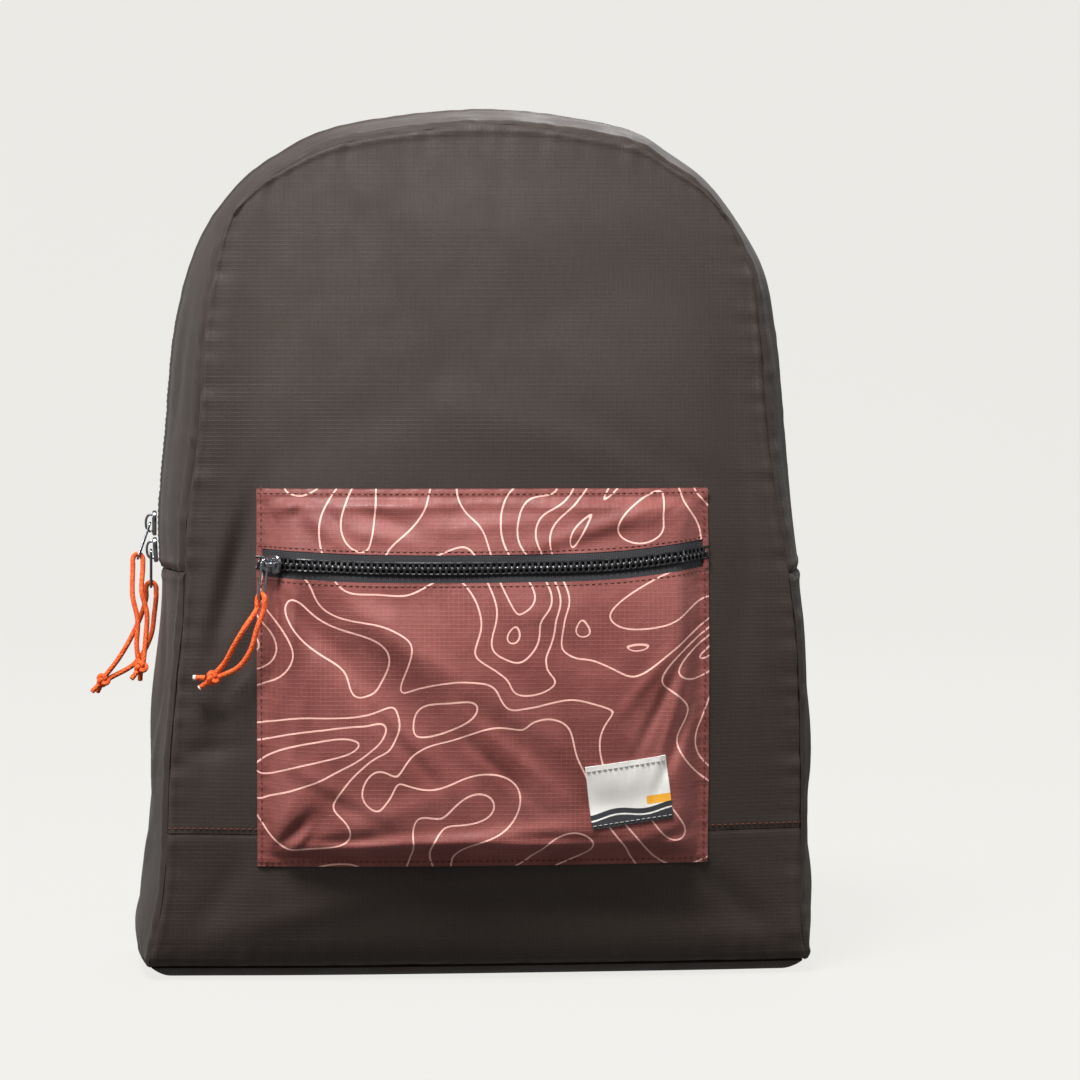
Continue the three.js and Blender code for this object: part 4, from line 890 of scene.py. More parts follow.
# Main zip: woven polyester tape sewn under the two folded edges, with moulded teeth that mesh
# along its middle, over the arch from side to side.
TOOTH_PITCH = 2.8


def tape_finish(name):
    """Charcoal tape: fine ribs across, and a raised rib along each side of the teeth."""
    made = Finish(name, linear(50, 50, 54), 0.8, specular=0.3)
    u, v, _ = made.across_and_along()
    ribs = made.threads(v, 0.0009, 0.3)
    cross = made.threads(u, 0.0007, 0.3)
    weave = made.math("ADD", made.math("MULTIPLY", ribs, 0.6), made.math("MULTIPLY", cross, 0.4))
    made.colour(made.mix(weave, linear(34, 34, 37), linear(62, 62, 66)))
    made.bump(weave, 0.00015, 0.8)
    return made.material


def teeth_finish(name):
    """Black moulded resin with a half gloss, lightly scuffed."""
    made = Finish(name, linear(26, 26, 29), 0.3)
    made.rough(made.ramp(made.noise(420, 3), 0.35, 0.7, 0.22, 0.42))
    made.bump(made.noise(1500, 2), 0.00005, 0.4)
    return made.material


zip_tape, zip_teeth = tape_finish("zip_tape_weave"), teeth_finish("zip_teeth_resin")

# One tooth lies along X from the middle to the cord at the tape: a foot, a waist and a head. Each
# row gives a place along it, half its width and its height there, as shares.
TOOTH_SHAPE = [
    (-0.30, 0.22, 0.72), (-0.16, 0.28, 0.95), (0.22, 0.28, 1.0), (0.42, 0.2, 0.95), (0.92, 0.26, 0.95),
    (1.0, 0.2, 0.6),
]
TOOTH = np.array([
    (x * CHAIN_WIDTH / 2, y * TOOTH_PITCH, z * CHAIN_RISE)
    for x, wide, top in TOOTH_SHAPE
    for y, z in (
        (-wide, -0.35), (wide, -0.35), (wide, top - 0.18),
        (wide * 0.6, top), (-wide * 0.6, top), (-wide, top - 0.18),
    )
])
TOOTH_ENDS = [list(range(6)), list(range(35, 29, -1))]
TOOTH_FACES = lattice(6, 6, wrap_columns=True)[:, ::-1].tolist() + TOOTH_ENDS


def chain_of(middle, beside, out, seat=0.0):
    """Teeth from both sides at a pitch along the chain's middle, the second side half a pitch on
    and turned round, and a cord along each edge that they are moulded on."""
    run = run_of(middle)
    shapes = []
    for turned, start in ((1, 0.5), (-1, 1.0)):
        at = np.arange(start * TOOTH_PITCH, run[-1] - 1.0, TOOTH_PITCH)
        way = unit(read_at(middle, run, at + 0.6) - read_at(middle, run, at - 0.6)) * turned
        normal = unit(read_at(out, run, at))
        here = read_at(middle, run, at) + normal * seat
        shapes.append(strew(TOOTH, TOOTH_FACES, here, way, normal))
    for edge in (-1, 1):
        aside = edge * unit(beside) * CHAIN_WIDTH * 0.47
        rail = middle + aside + unit(out) * (seat + CHAIN_RISE * 0.25)
        shapes.append(tube(rail[:: max(1, len(rail) // 260)], 0.55, beside, 6))
    return join_shapes(shapes)


tape_grid = gusset(arch_stations[:, None], np.linspace(FRONT_EDGE, BACK_EDGE, 9)[None, :])
if normals_of(tape_grid)[len(tape_grid) // 2, 4, 2] < 0:
    tape_grid = tape_grid[::-1]
tape_grid = tape_grid - normals_of(tape_grid) * TAPE_SINK
tape_shape = cloth(tape_grid, map_along(tape_grid), 0.8)
make_piece("main_zip_tape_weave", tape_shape, zip_tape, "zip_tape", "main_zip_tape")
middle, out = tape_grid[:, 4], normals_of(tape_grid)[:, 4]
beside = tape_grid[:, 6] - tape_grid[:, 2]
chain = chain_of(middle, beside, out, 0.2)
make_piece("main_zip_teeth", chain, zip_teeth, "zip_teeth", "main_zip_chain")

# Front pocket: thin printed ripstop in two pieces, one below its zip and a strip above it. The
# cloth is fuller than the place it is sewn to, so it stands off the bag, sags and creases. Its
# hem lies flat and is topstitched all round in rust-coloured thread.
POCKET_WIDTH, POCKET_HEIGHT, POCKET_BOTTOM, POCKET_SHIFT = 215.0, 179.0, 57.0, -1.0
POCKET_DEPTH, POCKET_STRIP, POCKET_GAP = 11.0, 30.0, 0.3
HEM, WALL_REACH, LOW_WALL_REACH, HEM_STITCH = 4.0, 14.0, 9.0, 2.4
POCKET_LEFT = POCKET_SHIFT - POCKET_WIDTH / 2
POCKET_CLOTH = 1.0

# Broad folds: place as shares of the pocket, turn, reach as shares of its width, depth outwards.
POCKET_FOLDS = [
    (0.1, 0.93, 0, 0.045, 0.035, -4.2), (0.16, 0.9, -40, 0.09, 0.018, 2.0),
    (0.5, 0.92, -6, 0.2, 0.03, -2.6), (0.86, 0.91, 14, 0.12, 0.02, 2.4),
    (0.95, 0.95, 30, 0.05, 0.02, -3.4), (0.3, 0.46, -48, 0.2, 0.03, -3.4),
    (0.37, 0.52, -44, 0.2, 0.028, 2.2), (0.52, 0.36, -34, 0.2, 0.03, -2.4),
    (0.09, 0.42, 82, 0.16, 0.025, -2.4), (0.93, 0.4, 68, 0.1, 0.025, -2.4),
    (0.09, 0.08, 50, 0.05, 0.02, -4.0), (0.45, 0.07, 3, 0.2, 0.02, 2.0),
]
# Creases: place in mm from the left and lower edges, turn, length, width and depth outwards.
POCKET_CREASES = [
    (5.5, 168.5, -58, 4.5, 1.3, -5.0), (12, 172, 10, 6, 3.2, 3.4), (19.5, 168.5, 60, 3.6, 2.6, -3.8),
    (27, 163, -46, 8, 2.4, 2.4), (9, 159, 70, 7, 2.0, -2.4), (35, 166, -52, 11, 2.3, -3.2),
    (58, 165, -16, 14, 3.2, -3.8), (60, 173, 0, 20, 2.4, 1.6), (52, 158, -12, 14, 2.4, 1.4),
    (92, 168, 4, 20, 3.4, -3.0), (120, 170, -4, 24, 4.0, -3.4), (112, 162, 6, 20, 2.6, 1.6),
    (168, 163, 17, 30, 2.6, 2.4), (166, 156, 14, 28, 3.4, -2.8), (184, 172, 8, 18, 2.4, -1.8),
    (203, 173, 34, 7, 1.5, -3.0), (206, 168, 62, 7, 1.8, 1.6),
    (192, 170, 24, 9, 1.8, -1.4), (20, 126, -52, 16, 2.6, 1.5), (28, 115, -55, 20, 4.2, -2.6),
    (42, 97, -50, 22, 4.0, -2.0), (16, 104, 84, 26, 2.0, 1.4), (13, 78, 82, 26, 2.4, -1.7),
    (20, 70, 78, 20, 2.6, 1.0), (58, 74, -48, 20, 2.6, 1.3), (66, 62, -50, 22, 3.0, -2.0),
    (80, 96, -38, 30, 5.0, 1.4), (96, 82, -36, 30, 4.0, -1.3), (110, 50, -42, 18, 2.4, -1.5),
    (118, 56, -40, 18, 2.4, 1.1), (128, 110, -20, 26, 7, -1.3), (150, 126, 8, 30, 7, 1.2),
    (66, 130, 12, 26, 6, -1.2), (44, 138, -14, 22, 4, 1.0), (190, 78, 64, 16, 2.0, -2.2),
    (195, 70, 72, 16, 1.8, 1.5), (200, 62, 66, 14, 1.8, -2.0), (184, 90, 52, 13, 2.4, 1.3),
    (206, 92, 82, 20, 2.4, 1.2), (205, 120, 88, 22, 2.2, -1.3), (172, 118, -64, 18, 4, -1.0),
    (14, 15, 48, 7, 1.8, -3.0), (20, 13, 52, 7, 1.8, 2.2), (10, 22, 60, 8, 2.0, 1.4),
    (40, 9, 4, 16, 2.0, 1.6), (44, 14, 6, 22, 2.4, -1.7), (84, 10, -3, 22, 1.8, -1.6),
    (100, 14, 8, 26, 2.4, 1.3), (134, 9, -8, 16, 1.8, 1.2), (146, 14, -4, 20, 2.2, -1.3),
    (196, 14, 20, 12, 2.2, -1.6), (60, 26, 18, 22, 4.0, 1.0), (30, 40, -30, 20, 3.4, 1.0),
    (38, 32, -28, 20, 3.0, -1.2), (165, 30, 10, 28, 5.0, -1.0),
]
ZIP_SWAY = np.array([(0.0, 0.06), (0.25, -0.02), (0.6, -0.02), (0.8, 0.03), (1.0, 0.2)])


def pocket(from_left, from_bottom, out=0.0, fine=1.0):
    """The pocket's cloth at distances from its left and lower edges. It leaves the bag beside
    the hem, as a smooth step to the power 0.7 from each edge, to its full depth and folds. At
    the top that step gives four tenths of the depth, and a longer smooth step the rest."""
    from_left, from_bottom = np.broadcast_arrays(from_left * 1.0, from_bottom * 1.0)
    rim = smooth_step(from_bottom, HEM, HEM + LOW_WALL_REACH) ** 0.7
    for off in (from_left, POCKET_WIDTH - from_left):
        rim = rim * smooth_step(off, HEM, HEM + WALL_REACH) ** 0.7
    fallen = POCKET_HEIGHT - from_bottom
    rim = rim * (0.4 * smooth_step(fallen, HEM, HEM + 6) ** 0.7 + 0.6 * smooth_step(fallen, HEM, 70))
    w, h = POCKET_WIDTH, POCKET_HEIGHT
    rows = [(a * w, u * h, turn, long * w, wide * w, d) for a, u, turn, long, wide, d in POCKET_FOLDS]
    folds = bumps(from_left, from_bottom, rows) + fine * bumps(from_left, from_bottom, POCKET_CREASES)
    point = face_at("front", POCKET_LEFT + from_left, POCKET_BOTTOM + from_bottom, 0.0)
    point[..., 1] -= POCKET_GAP + np.maximum(rim * (POCKET_DEPTH + folds), 0) + out
    return point


def pocket_zip(from_left):
    """Height of the zip's middle above the pocket's lower edge."""
    sway = POCKET_STRIP * follow(ZIP_SWAY, 1, from_left / POCKET_WIDTH)
    return POCKET_HEIGHT - POCKET_STRIP - TAPE_WIDTH / 2 + sway


def contours(made, u, v, spacing, width, seed, size=0.045):
    """Lines of one width along the levels of a smooth noise: the distance to the nearest level
    is the noise's distance from it over the noise's slope, read from three samples."""
    step = 0.0008
    samples = []
    for du, dv in ((0, 0), (step, 0), (0, step)):
        place = made.node("CombineXYZ", X=made.math("ADD", u, du), Y=made.math("ADD", v, dv), Z=seed)
        field = made.tree.nodes.new("ShaderNodeTexNoise")
        field.inputs["Scale"].default_value = 1 / size
        field.inputs["Detail"].default_value = 0.6
        field.inputs["Roughness"].default_value = 0.4
        field.inputs["Distortion"].default_value = 0.9
        made.join(place.outputs[0], field.inputs["Vector"])
        samples.append(made.math("DIVIDE", field.outputs["Fac"], spacing))
    slopes = [made.math("DIVIDE", made.math("SUBTRACT", s, samples[0]), step) for s in samples[1:]]
    slope = made.math("SQRT", made.math("ADD", *(made.math("MULTIPLY", s, s) for s in slopes)))
    off = made.math("ABSOLUTE", made.math("SUBTRACT", made.math("FRACT", samples[0]), 0.5))
    away = made.math("DIVIDE", off, made.math("MAXIMUM", slope, 12.0))
    return made.ramp(away, width * 0.36, width * 0.64, 1.0, 0.0)


def pocket_finish(name):
    """Dusty-red ripstop with a shine, its thicker threads 2 and 2.3 mm apart, printed with pale
    contour lines of a layout worked out here."""
    made = Finish(name, linear(138, 77, 72), 0.42, specular=0.35)
    u, v, _ = made.across_and_along()
    grid = made.math("MAXIMUM", made.threads(u, 0.0023, 0.11), made.threads(v, 0.0020, 0.11))
    weave = made.math("MULTIPLY", made.threads(u, 0.0006, 0.35), made.threads(v, 0.0006, 0.35))
    patches = made.noise(38, 3)
    shade = made.mix(made.ramp(patches, 0.35, 0.68), linear(124, 65, 60), linear(145, 82, 77))
    shade = made.mix(made.math("MULTIPLY", weave, 0.3), shade, linear(105, 53, 49))
    # The thicker threads are paler in random patches.
    patchy_pale_grid = made.math("MULTIPLY", grid, made.ramp(made.noise(24, 2), 0.38, 0.66, 0.0, 0.24))
    cloth_colour = made.mix(patchy_pale_grid, shade, linear(182, 115, 108))
    lines = contours(made, u, v, 0.1, 0.00078, 3.4, size=0.066)
    made.colour(made.mix(lines, cloth_colour, linear(247, 192, 180)))
    made.rough(made.ramp(made.noise(80, 3), 0.3, 0.7, 0.42, 0.56))
    fine = made.bump(weave, 0.00006, 0.5)
    crinkle = made.bump(made.noise(130, 3), 0.0012, 0.35, fine)
    made.bump(grid, 0.0001, 0.8, crinkle)
    made.shader.inputs["Sheen Weight"].default_value = 0.1
    made.shader.inputs["Sheen Roughness"].default_value = 0.35
    return made.material


pocket_cloth = pocket_finish("pocket_ripstop")


pocket_x = eased(0.0, POCKET_WIDTH, 260, 0.35)[None, :]


def pocket_part(lower, upper, rows):
    """A grid of the pocket between two heights, and its flat map in metres."""
    z = lower + (upper - lower) * eased(0.0, 1.0, rows, 0.35)[:, None]
    return pocket(pocket_x, z, POCKET_CLOTH), np.stack([pocket_x + 0 * z, z], -1) * MM


def hemmed(grid, edges):
    """The grid with a folded hem: the free edges are rounded down and the rest is kept."""
    return sewn(grid, 21, edges, 5.0, 7.0, **{edge: (0.5, 0.2, 0.28) for edge in edges})


def lower_edge(from_left):
    """The height at which the lower piece ends at the zip."""
    return pocket_zip(from_left) - TAPE_WIDTH / 2


def upper_edge(from_left):
    """The height at which the strip above the zip starts."""
    return pocket_zip(from_left) + TAPE_WIDTH / 2


pocket_grid, pocket_map = pocket_part(0.0, lower_edge(pocket_x), 190)
pocket_grid = hemmed(pocket_grid, "lrb")
pocket_shape = cloth(pocket_grid, pocket_map, 0.9)
make_piece("pocket_cloth_lower", pocket_shape, pocket_cloth, "pocket_cloth", "pocket_front_panel")
strip_grid, strip_map = pocket_part(upper_edge(pocket_x), POCKET_HEIGHT, 56)
strip_grid = hemmed(strip_grid, "lrt")
strip_shape = cloth(strip_grid, strip_map, 0.9)
make_piece("pocket_cloth_upper", strip_shape, pocket_cloth, "pocket_cloth", "pocket_top_strip")

hem_rows = [
    stitch_row(*line_in(pocket_grid, row=row_off(pocket_grid, HEM_STITCH, "b"))),
    stitch_row(*line_in(strip_grid, row=row_off(strip_grid, HEM_STITCH, "t"))),
    stitch_row(*line_in(pocket_grid, row=row_off(pocket_grid, 1.6, "t"))),
    stitch_row(*line_in(strip_grid, row=row_off(strip_grid, 1.6, "b"))),
]
for grid in (pocket_grid, strip_grid):
    hem_rows += [stitch_row(*line_in(grid, column=column_off(grid, HEM_STITCH, e))) for e in "lr"]
make_piece("pocket_stitches", join_shapes(hem_rows), rust_thread, "pocket_cloth")

# The hem runs on over the zip's two ends as a narrow fold of the same cloth.
END_FOLD = 3.0
for name, low_x in (("left", 0.0), ("right", POCKET_WIDTH - END_FOLD)):
    x = low_x + np.linspace(0, END_FOLD, 9)[None, :]
    z = lower_edge(x) - 0.8 + (TAPE_WIDTH + 1.6) * np.linspace(0, 1, 18)[:, None]
    fold = pocket(x, z, POCKET_CLOTH + 0.5)
    fold[..., 1] += 0.5 * (1 - np.sin((x - low_x) / END_FOLD * math.pi) ** 0.5)
    fold_map = np.stack([x + 0 * z, z], -1) * MM
    make_piece(f"pocket_end_fold_{name}", cloth(fold, fold_map, 0.6), pocket_cloth, "pocket_cloth")

# The pocket's zip: tape sewn under both pieces, and a chain of the same teeth as the main zip.
zip_x = eased(0.0, POCKET_WIDTH, 260, 0.2)[None, :]
tape_rows = np.linspace(-0.5, 0.5, 11)[:, None] * TAPE_WIDTH
pocket_tape = pocket(zip_x, pocket_zip(zip_x) + tape_rows, 0.75)
tape_map = np.stack([tape_rows + 0 * zip_x, zip_x + 0 * tape_rows], -1) * MM
tape_shape = cloth(pocket_tape, tape_map, 0.7)
make_piece("pocket_zip_tape_weave", tape_shape, zip_tape, "zip_tape", "pocket_zip_tape")
middle, out = pocket_tape[5], normals_of(pocket_tape)[5]
beside = pocket_tape[8] - pocket_tape[2]
chain = chain_of(middle, beside, out, 0.3)
make_piece("pocket_zip_teeth", chain, zip_teeth, "zip_teeth", "pocket_zip_chain")

# Woven label: sewn flat on the pocket, a little turned. Its design is plain bands: white ground,
# a dark band along its foot and a short ochre stripe above that, grey stitches near its top.
LABEL_WIDTH, LABEL_HEIGHT, LABEL_TURN = 39.0, 30.0, math.radians(7.5)
LABEL_FROM_RIGHT, LABEL_FROM_BOTTOM = 40.0, 36.0


def label_finish(name):
    """A dense satin weave in bands. The map runs from -0.5 to 0.5 along and up the label."""
    made = Finish(name, linear(238, 235, 229), 0.7, specular=0.3)
    u, v, _ = made.across_and_along()
    sway = made.math("SINE", made.math("MULTIPLY", u, 9.0))
    wave = made.math("ADD", v, made.math("MULTIPLY", sway, 0.03))
    dark = made.ramp(wave, -0.252, -0.246, 1.0, 0.0)
    pale_foot, pale_top = made.ramp(wave, -0.36, -0.354), made.ramp(wave, -0.335, -0.329, 1.0, 0.0)
    pale = made.math("MULTIPLY", pale_foot, pale_top)
    ochre = made.math("MULTIPLY", made.ramp(v, -0.235, -0.23), made.ramp(v, -0.1, -0.095, 1.0, 0.0))
    ochre = made.math("MULTIPLY", ochre, made.ramp(u, 0.2, 0.205))
    ground = made.mix(ochre, linear(238, 235, 229), linear(247, 176, 44))
    banded = made.mix(made.math("SUBTRACT", dark, pale), ground, linear(38, 40, 46))
    weft = made.threads(v, 0.016, 0.3)
    made.colour(made.mix(made.math("MULTIPLY", weft, 0.12), banded, linear(150, 148, 145)))
    made.bump(weft, 0.0001, 0.8)
    return made.material


u = np.linspace(-0.5, 0.5, 40)[None, :]
v = np.linspace(-0.5, 0.5, 32)[:, None]
turn_c, turn_s = math.cos(LABEL_TURN), math.sin(LABEL_TURN)
label_x = POCKET_WIDTH - LABEL_FROM_RIGHT + u * LABEL_WIDTH * turn_c - v * LABEL_HEIGHT * turn_s
label_z = LABEL_FROM_BOTTOM + u * LABEL_WIDTH * turn_s + v * LABEL_HEIGHT * turn_c
label_grid = pocket(label_x, label_z, POCKET_CLOTH + 0.9)
label_map = np.stack(np.broadcast_arrays(u, v), -1)
label_cloth = label_finish("label_weave")
make_piece("label_weave", cloth(label_grid, label_map, 0.7), label_cloth, "label", "pocket_label")
grey_thread = thread_finish("grey_thread", linear(172, 170, 168))
label_rows = [stitch_row(*line_in(label_grid, row=row), pitch=2.6) for row in (28.6, 1.6)]
make_piece("label_stitches", join_shapes(label_rows), grey_thread, "label")

# Sliders: plated zinc, a plate that narrows to its front with a bail over it, and through the
# bail a closed loop of bent steel wire.
SLIDER_LENGTH, SLIDER_WIDTH, SLIDER_PLATE = 12.0, 9.0, 2.0
BAIL_HEIGHT, BAIL_WIDTH, BAIL_BAR = 3.6, 2.2, 1.3
WIRE, WIRE_LENGTH, WIRE_WIDTH = 1.3, 20.0, 5.2

# Where each slider sits in mm, which way the zip runs, which way is out, how its loop hangs and
# lies, and the middle of the loop's upper end.
SLIDERS = {
    "side_pull_upper": {
        "seat": (-157.5, 3.68, 217.01), "along": (0.0028, 0, 1), "out": (-1, 0, 0.0028),
        "hang": (-0.32, -0.168, -0.9324), "loop_across": (-0.0545, 0.9858, -0.1589),
        "loop_top": (-160.65, 3.68, 217.01),
    },
    "side_pull_lower": {
        "seat": (-157.08, 3.4, 203.89), "along": (-0.0525, 0, 0.9986), "out": (-0.9986, 0, -0.0525),
        "hang": (-0.0073, 0.1384, -0.9903), "loop_across": (0.001, 0.9904, 0.1384),
        "loop_top": (-160.23, 3.4, 203.73),
    },
    "pocket_pull": {
        "seat": (-100.94, -78.83, 200.78),
        "along": (0.688, -0.7242, -0.0469), "out": (-0.725, -0.6887, 0),
        "hang": (-0.1043, -0.0347, -0.9939), "loop_across": (-0.7182, -0.6887, 0.0994),
        "loop_top": (-104.39, -82.27, 203.16),
    },
}


def metal_finish(name, colour, roughness, wear):
    """Plated metal: fine scratches and dull spots."""
    made = Finish(name, colour, roughness, metallic=1.0)
    made.rough(made.ramp(made.noise(650, 4), 0.35, 0.7, roughness, roughness + wear))
    made.bump(made.noise(1200, 3), 0.00005, 0.5)
    return made.material


slider_metal = metal_finish("slider_plating", linear(150, 152, 158), 0.2, 0.14)
wire_metal = metal_finish("wire_steel", linear(178, 180, 186), 0.16, 0.1)


def swept(line, across, up, section, wrap=False):
    """A closed section of side and height offsets carried along a line, with its ends capped."""
    section = np.broadcast_to(section, (len(line), *np.shape(section)[-2:]))
    points = line[:, None] + across[:, None] * section[..., :1] + up[:, None] * section[..., 1:]
    count, sides = section.shape[:2]
    faces = lattice(count, sides, wrap_rows=wrap, wrap_columns=True).tolist()
    if not wrap:
        faces += [list(range(sides))[::-1], list(range((count - 1) * sides, count * sides))]
    around = run_of(np.vstack([section[0], section[0, :1]]))[:-1]
    length = np.broadcast_to(run_of(line)[:, None], (count, sides))
    maps = np.stack([np.broadcast_to(around, (count, sides)), length], -1) * MM
    return points.reshape(-1, 3), faces, maps.reshape(-1, 2)


def rounded_bar(width, height, corner=0.35, steps=3):
    """A rectangle's outline with rounded corners, counted against the clock from its right side."""
    turn = np.linspace(0, math.pi / 2, steps + 1)
    corners = [((width / 2 - corner) * sx, (height / 2 - corner) * sy, start)
               for sx, sy, start in ((1, 1, 0), (-1, 1, 1), (-1, -1, 2), (1, -1, 3))]
    return np.array([
        (cx + corner * math.cos(t + s * math.pi / 2), cy + corner * math.sin(t + s * math.pi / 2))
        for cx, cy, s in corners for t in turn
    ])


def slider_shape():
    """A slider along +Y, standing out along +Z: a plate of stacked outlines with rounded rims,
    a raised rim round its nose, and a bail bent from a flat bar."""
    long, wide = SLIDER_LENGTH / 2, SLIDER_WIDTH / 2
    half = [(0.5, -1.0), (0.78, -0.55), (0.86, 0.1), (1.0, 0.55), (0.72, 0.93)]
    other_half = [(-x * wide, y * long) for x, y in half[::-1]]
    outline = np.array([(x * wide, y * long) for x, y in half] + other_half)
    outline = smooth_line(np.vstack([outline, outline[:1]]), 5)[:-1]
    rings = [
        (0.93, 0.0), (1.0, 0.35), (1.0, SLIDER_PLATE - 0.45), (0.93, SLIDER_PLATE),
        (0.55, SLIDER_PLATE + 0.12),
    ]
    points = np.array([(x * s, y * s, z) for s, z in rings for x, y in outline])
    count = len(outline)
    faces = lattice(len(rings), count, wrap_columns=True).tolist()
    faces += [list(range(count))[::-1], list(range((len(rings) - 1) * count, len(rings) * count))]
    plate = (points, faces, points[:, :2] * MM)
    top = SLIDER_PLATE + BAIL_HEIGHT - BAIL_BAR / 2
    foot, knee = SLIDER_PLATE - 0.3, SLIDER_PLATE + BAIL_HEIGHT * 0.45
    way = smooth_line([
        (0, -0.66 * long, foot), (0, -0.66 * long, knee), (0, -0.38 * long, top),
        (0, 0.38 * long, top), (0, 0.66 * long, knee), (0, 0.66 * long, foot),
    ], 6)
    ahead = unit(np.gradient(way, axis=0))
    across = np.broadcast_to((1.0, 0.0, 0.0), way.shape)
    bar = rounded_bar(BAIL_WIDTH, BAIL_BAR * 0.9)[::-1]
    bail = swept(way, across, np.cross(across, ahead) * -1, bar)
    return join_shapes([plate, bail])


def wire_line():
    """The wire's closed course: its upper end lies across +X at the origin, it hangs towards -Y."""
    half, reach = (WIRE_WIDTH - WIRE) / 2, WIRE_LENGTH - WIRE
    turn = np.linspace(0, math.pi, 13)
    upper = np.stack([half * np.cos(turn), half * np.sin(turn) - half], -1)
    lower = -upper - (0, reach)
    side = np.linspace(0, 1, 9)[1:-1, None]
    course = np.vstack([upper, upper[-1:] + (lower[:1] - upper[-1:]) * side, lower,
                        lower[-1:] + (upper[:1] - lower[-1:]) * side])
    return np.hstack([course, np.zeros((len(course), 1))])


def set_in(shape, at, x, y, z):
    """A shape turned so that its own X, Y and Z lie along three directions, and moved to a place."""
    points, faces, cloth_map = shape
    return points @ np.array([x, y, z]) + at, faces, cloth_map


for name, slider in SLIDERS.items():
    along, outward, hang, loop_across = (
        unit(np.array(slider[key], float)) for key in ("along", "out", "hang", "loop_across")
    )
    body = set_in(slider_shape(), slider["seat"], np.cross(along, outward), along, outward)
    make_piece(f"{name}_slider_cast", body, slider_metal, "pull_metal", f"{name}_slider", sharp=35)
    wire = tube(wire_line(), WIRE / 2, (0.0, 0.0, 1.0), 10, closed=True)
    wire = set_in(wire, slider["loop_top"], loop_across, -hang, np.cross(loop_across, -hang))
    make_piece(f"{name}_wire_bent", wire, wire_metal, "pull_metal", f"{name}_wire")

# Shoulder straps: dark cloth over thin foam, edged with narrow binding and quilted by two rows
# of stitches, sewn to the back near its top. They bow away from the back and narrow downwards.
STRAP_WIDTH, STRAP_THICKNESS, STRAP_SEAT, STRAP_BOW = 58.0, 8.0, 0.7, 44.0
STRAP_TOP, STRAP_FOOT = BAG_HEIGHT - 46.0, 132.0
STRAP_TOP_SPREAD, STRAP_FOOT_SPREAD = 44.0, BAG_HALF_WIDTH - 62.0
STRAP_STOPS, STRAP_SPAN = 13, 12  # stops down a strap, and points from one to the next
STRAP_COURSE = np.array([
    (0.0, 0.0, 0.82), (0.07, 0.03, 0.86), (0.2, 0.36, 1.0), (0.45, 0.95, 1.0), (0.62, 1.0, 0.98),
    (0.82, 0.8, 0.8), (1.0, 0.5, 0.46),
])
# Half of a strap's section, from its edge inwards: share of the half width, share of the height.
PAD_SECTION = [
    (1.0, 0.0), (0.995, 0.17), (0.97, 0.27), (0.93, 0.3), (0.875, 0.3), (0.85, 0.24), (0.82, 0.32),
    (0.74, 0.72), (0.62, 0.92), (0.45, 1.0), (0.34, 0.93), (0.31, 0.8), (0.28, 0.93), (0.14, 1.0),
    (0.0, 1.0),
]


def strap_finish(name):
    """The body cloth over foam: the same ripstop, a little darker and flatter."""
    made = Finish(name, linear(66, 58, 53), 0.7, specular=0.3)
    u, v, _ = made.across_and_along()
    grid = made.math("MAXIMUM", made.threads(u, 0.0022, 0.13), made.threads(v, 0.0019, 0.12))
    shade = made.mix(made.ramp(made.noise(30, 3), 0.3, 0.7), linear(58, 50, 46), linear(70, 62, 57))
    made.colour(made.mix(made.math("MULTIPLY", grid, 0.3), shade, linear(92, 83, 76)))
    made.bump(grid, 0.00012, 0.8)
    return made.material


def webbing_finish(name):
    """Polyester webbing: ribs across it every 1.7 mm and a flat selvedge along each edge."""
    made = Finish(name, linear(40, 40, 43), 0.8, specular=0.3)
    u, v, _ = made.across_and_along()
    ribs = made.threads(v, 0.0017, 0.4)
    warp = made.threads(u, 0.0011, 0.4)
    weave = made.math("ADD", made.math("MULTIPLY", ribs, 0.65), made.math("MULTIPLY", warp, 0.35))
    made.colour(made.mix(weave, linear(26, 26, 28), linear(56, 56, 60)))
    made.bump(weave, 0.0004, 0.9)
    return made.material


def plastic_finish(name):
    """Black moulded plastic with a fine spark-eroded grain."""
    made = Finish(name, linear(30, 30, 33), 0.42)
    made.rough(made.ramp(made.noise(240, 3), 0.3, 0.7, 0.36, 0.5))
    made.bump(made.noise(1400, 2), 0.00008, 0.6)
    return made.material


strap_cloth, webbing_weave, buckle_plastic = (
    strap_finish("strap_ripstop"), webbing_finish("webbing_weave"), plastic_finish("buckle_plastic")
)


def off_back(x, z, out):
    """A place that stands off the back face."""
    point = face_at("back", np.array([[float(x)]]), np.array([[float(z)]]))[0, 0]
    return point + (0, out, 0)


WEBBING_WIDTH, WEBBING, WEBBING_GAP = 20.0, 1.6, 0.3
WEBBING_FOOT, WEBBING_FROM_SIDE, WEBBING_TAIL, TAIL_DRIFT, WRAP_GAP = 26.0, 46.0, 72.0, 4.0, 0.5
LOCK_BAR, LOCK_SLOT, LOCK_SIDE_GAP = 3.0, 4.4, 0.6
LOCK_HEIGHT = 3 * LOCK_BAR + 2 * LOCK_SLOT
LOCK_WIDTH = WEBBING_WIDTH + 2 * LOCK_SIDE_GAP + 2 * LOCK_BAR


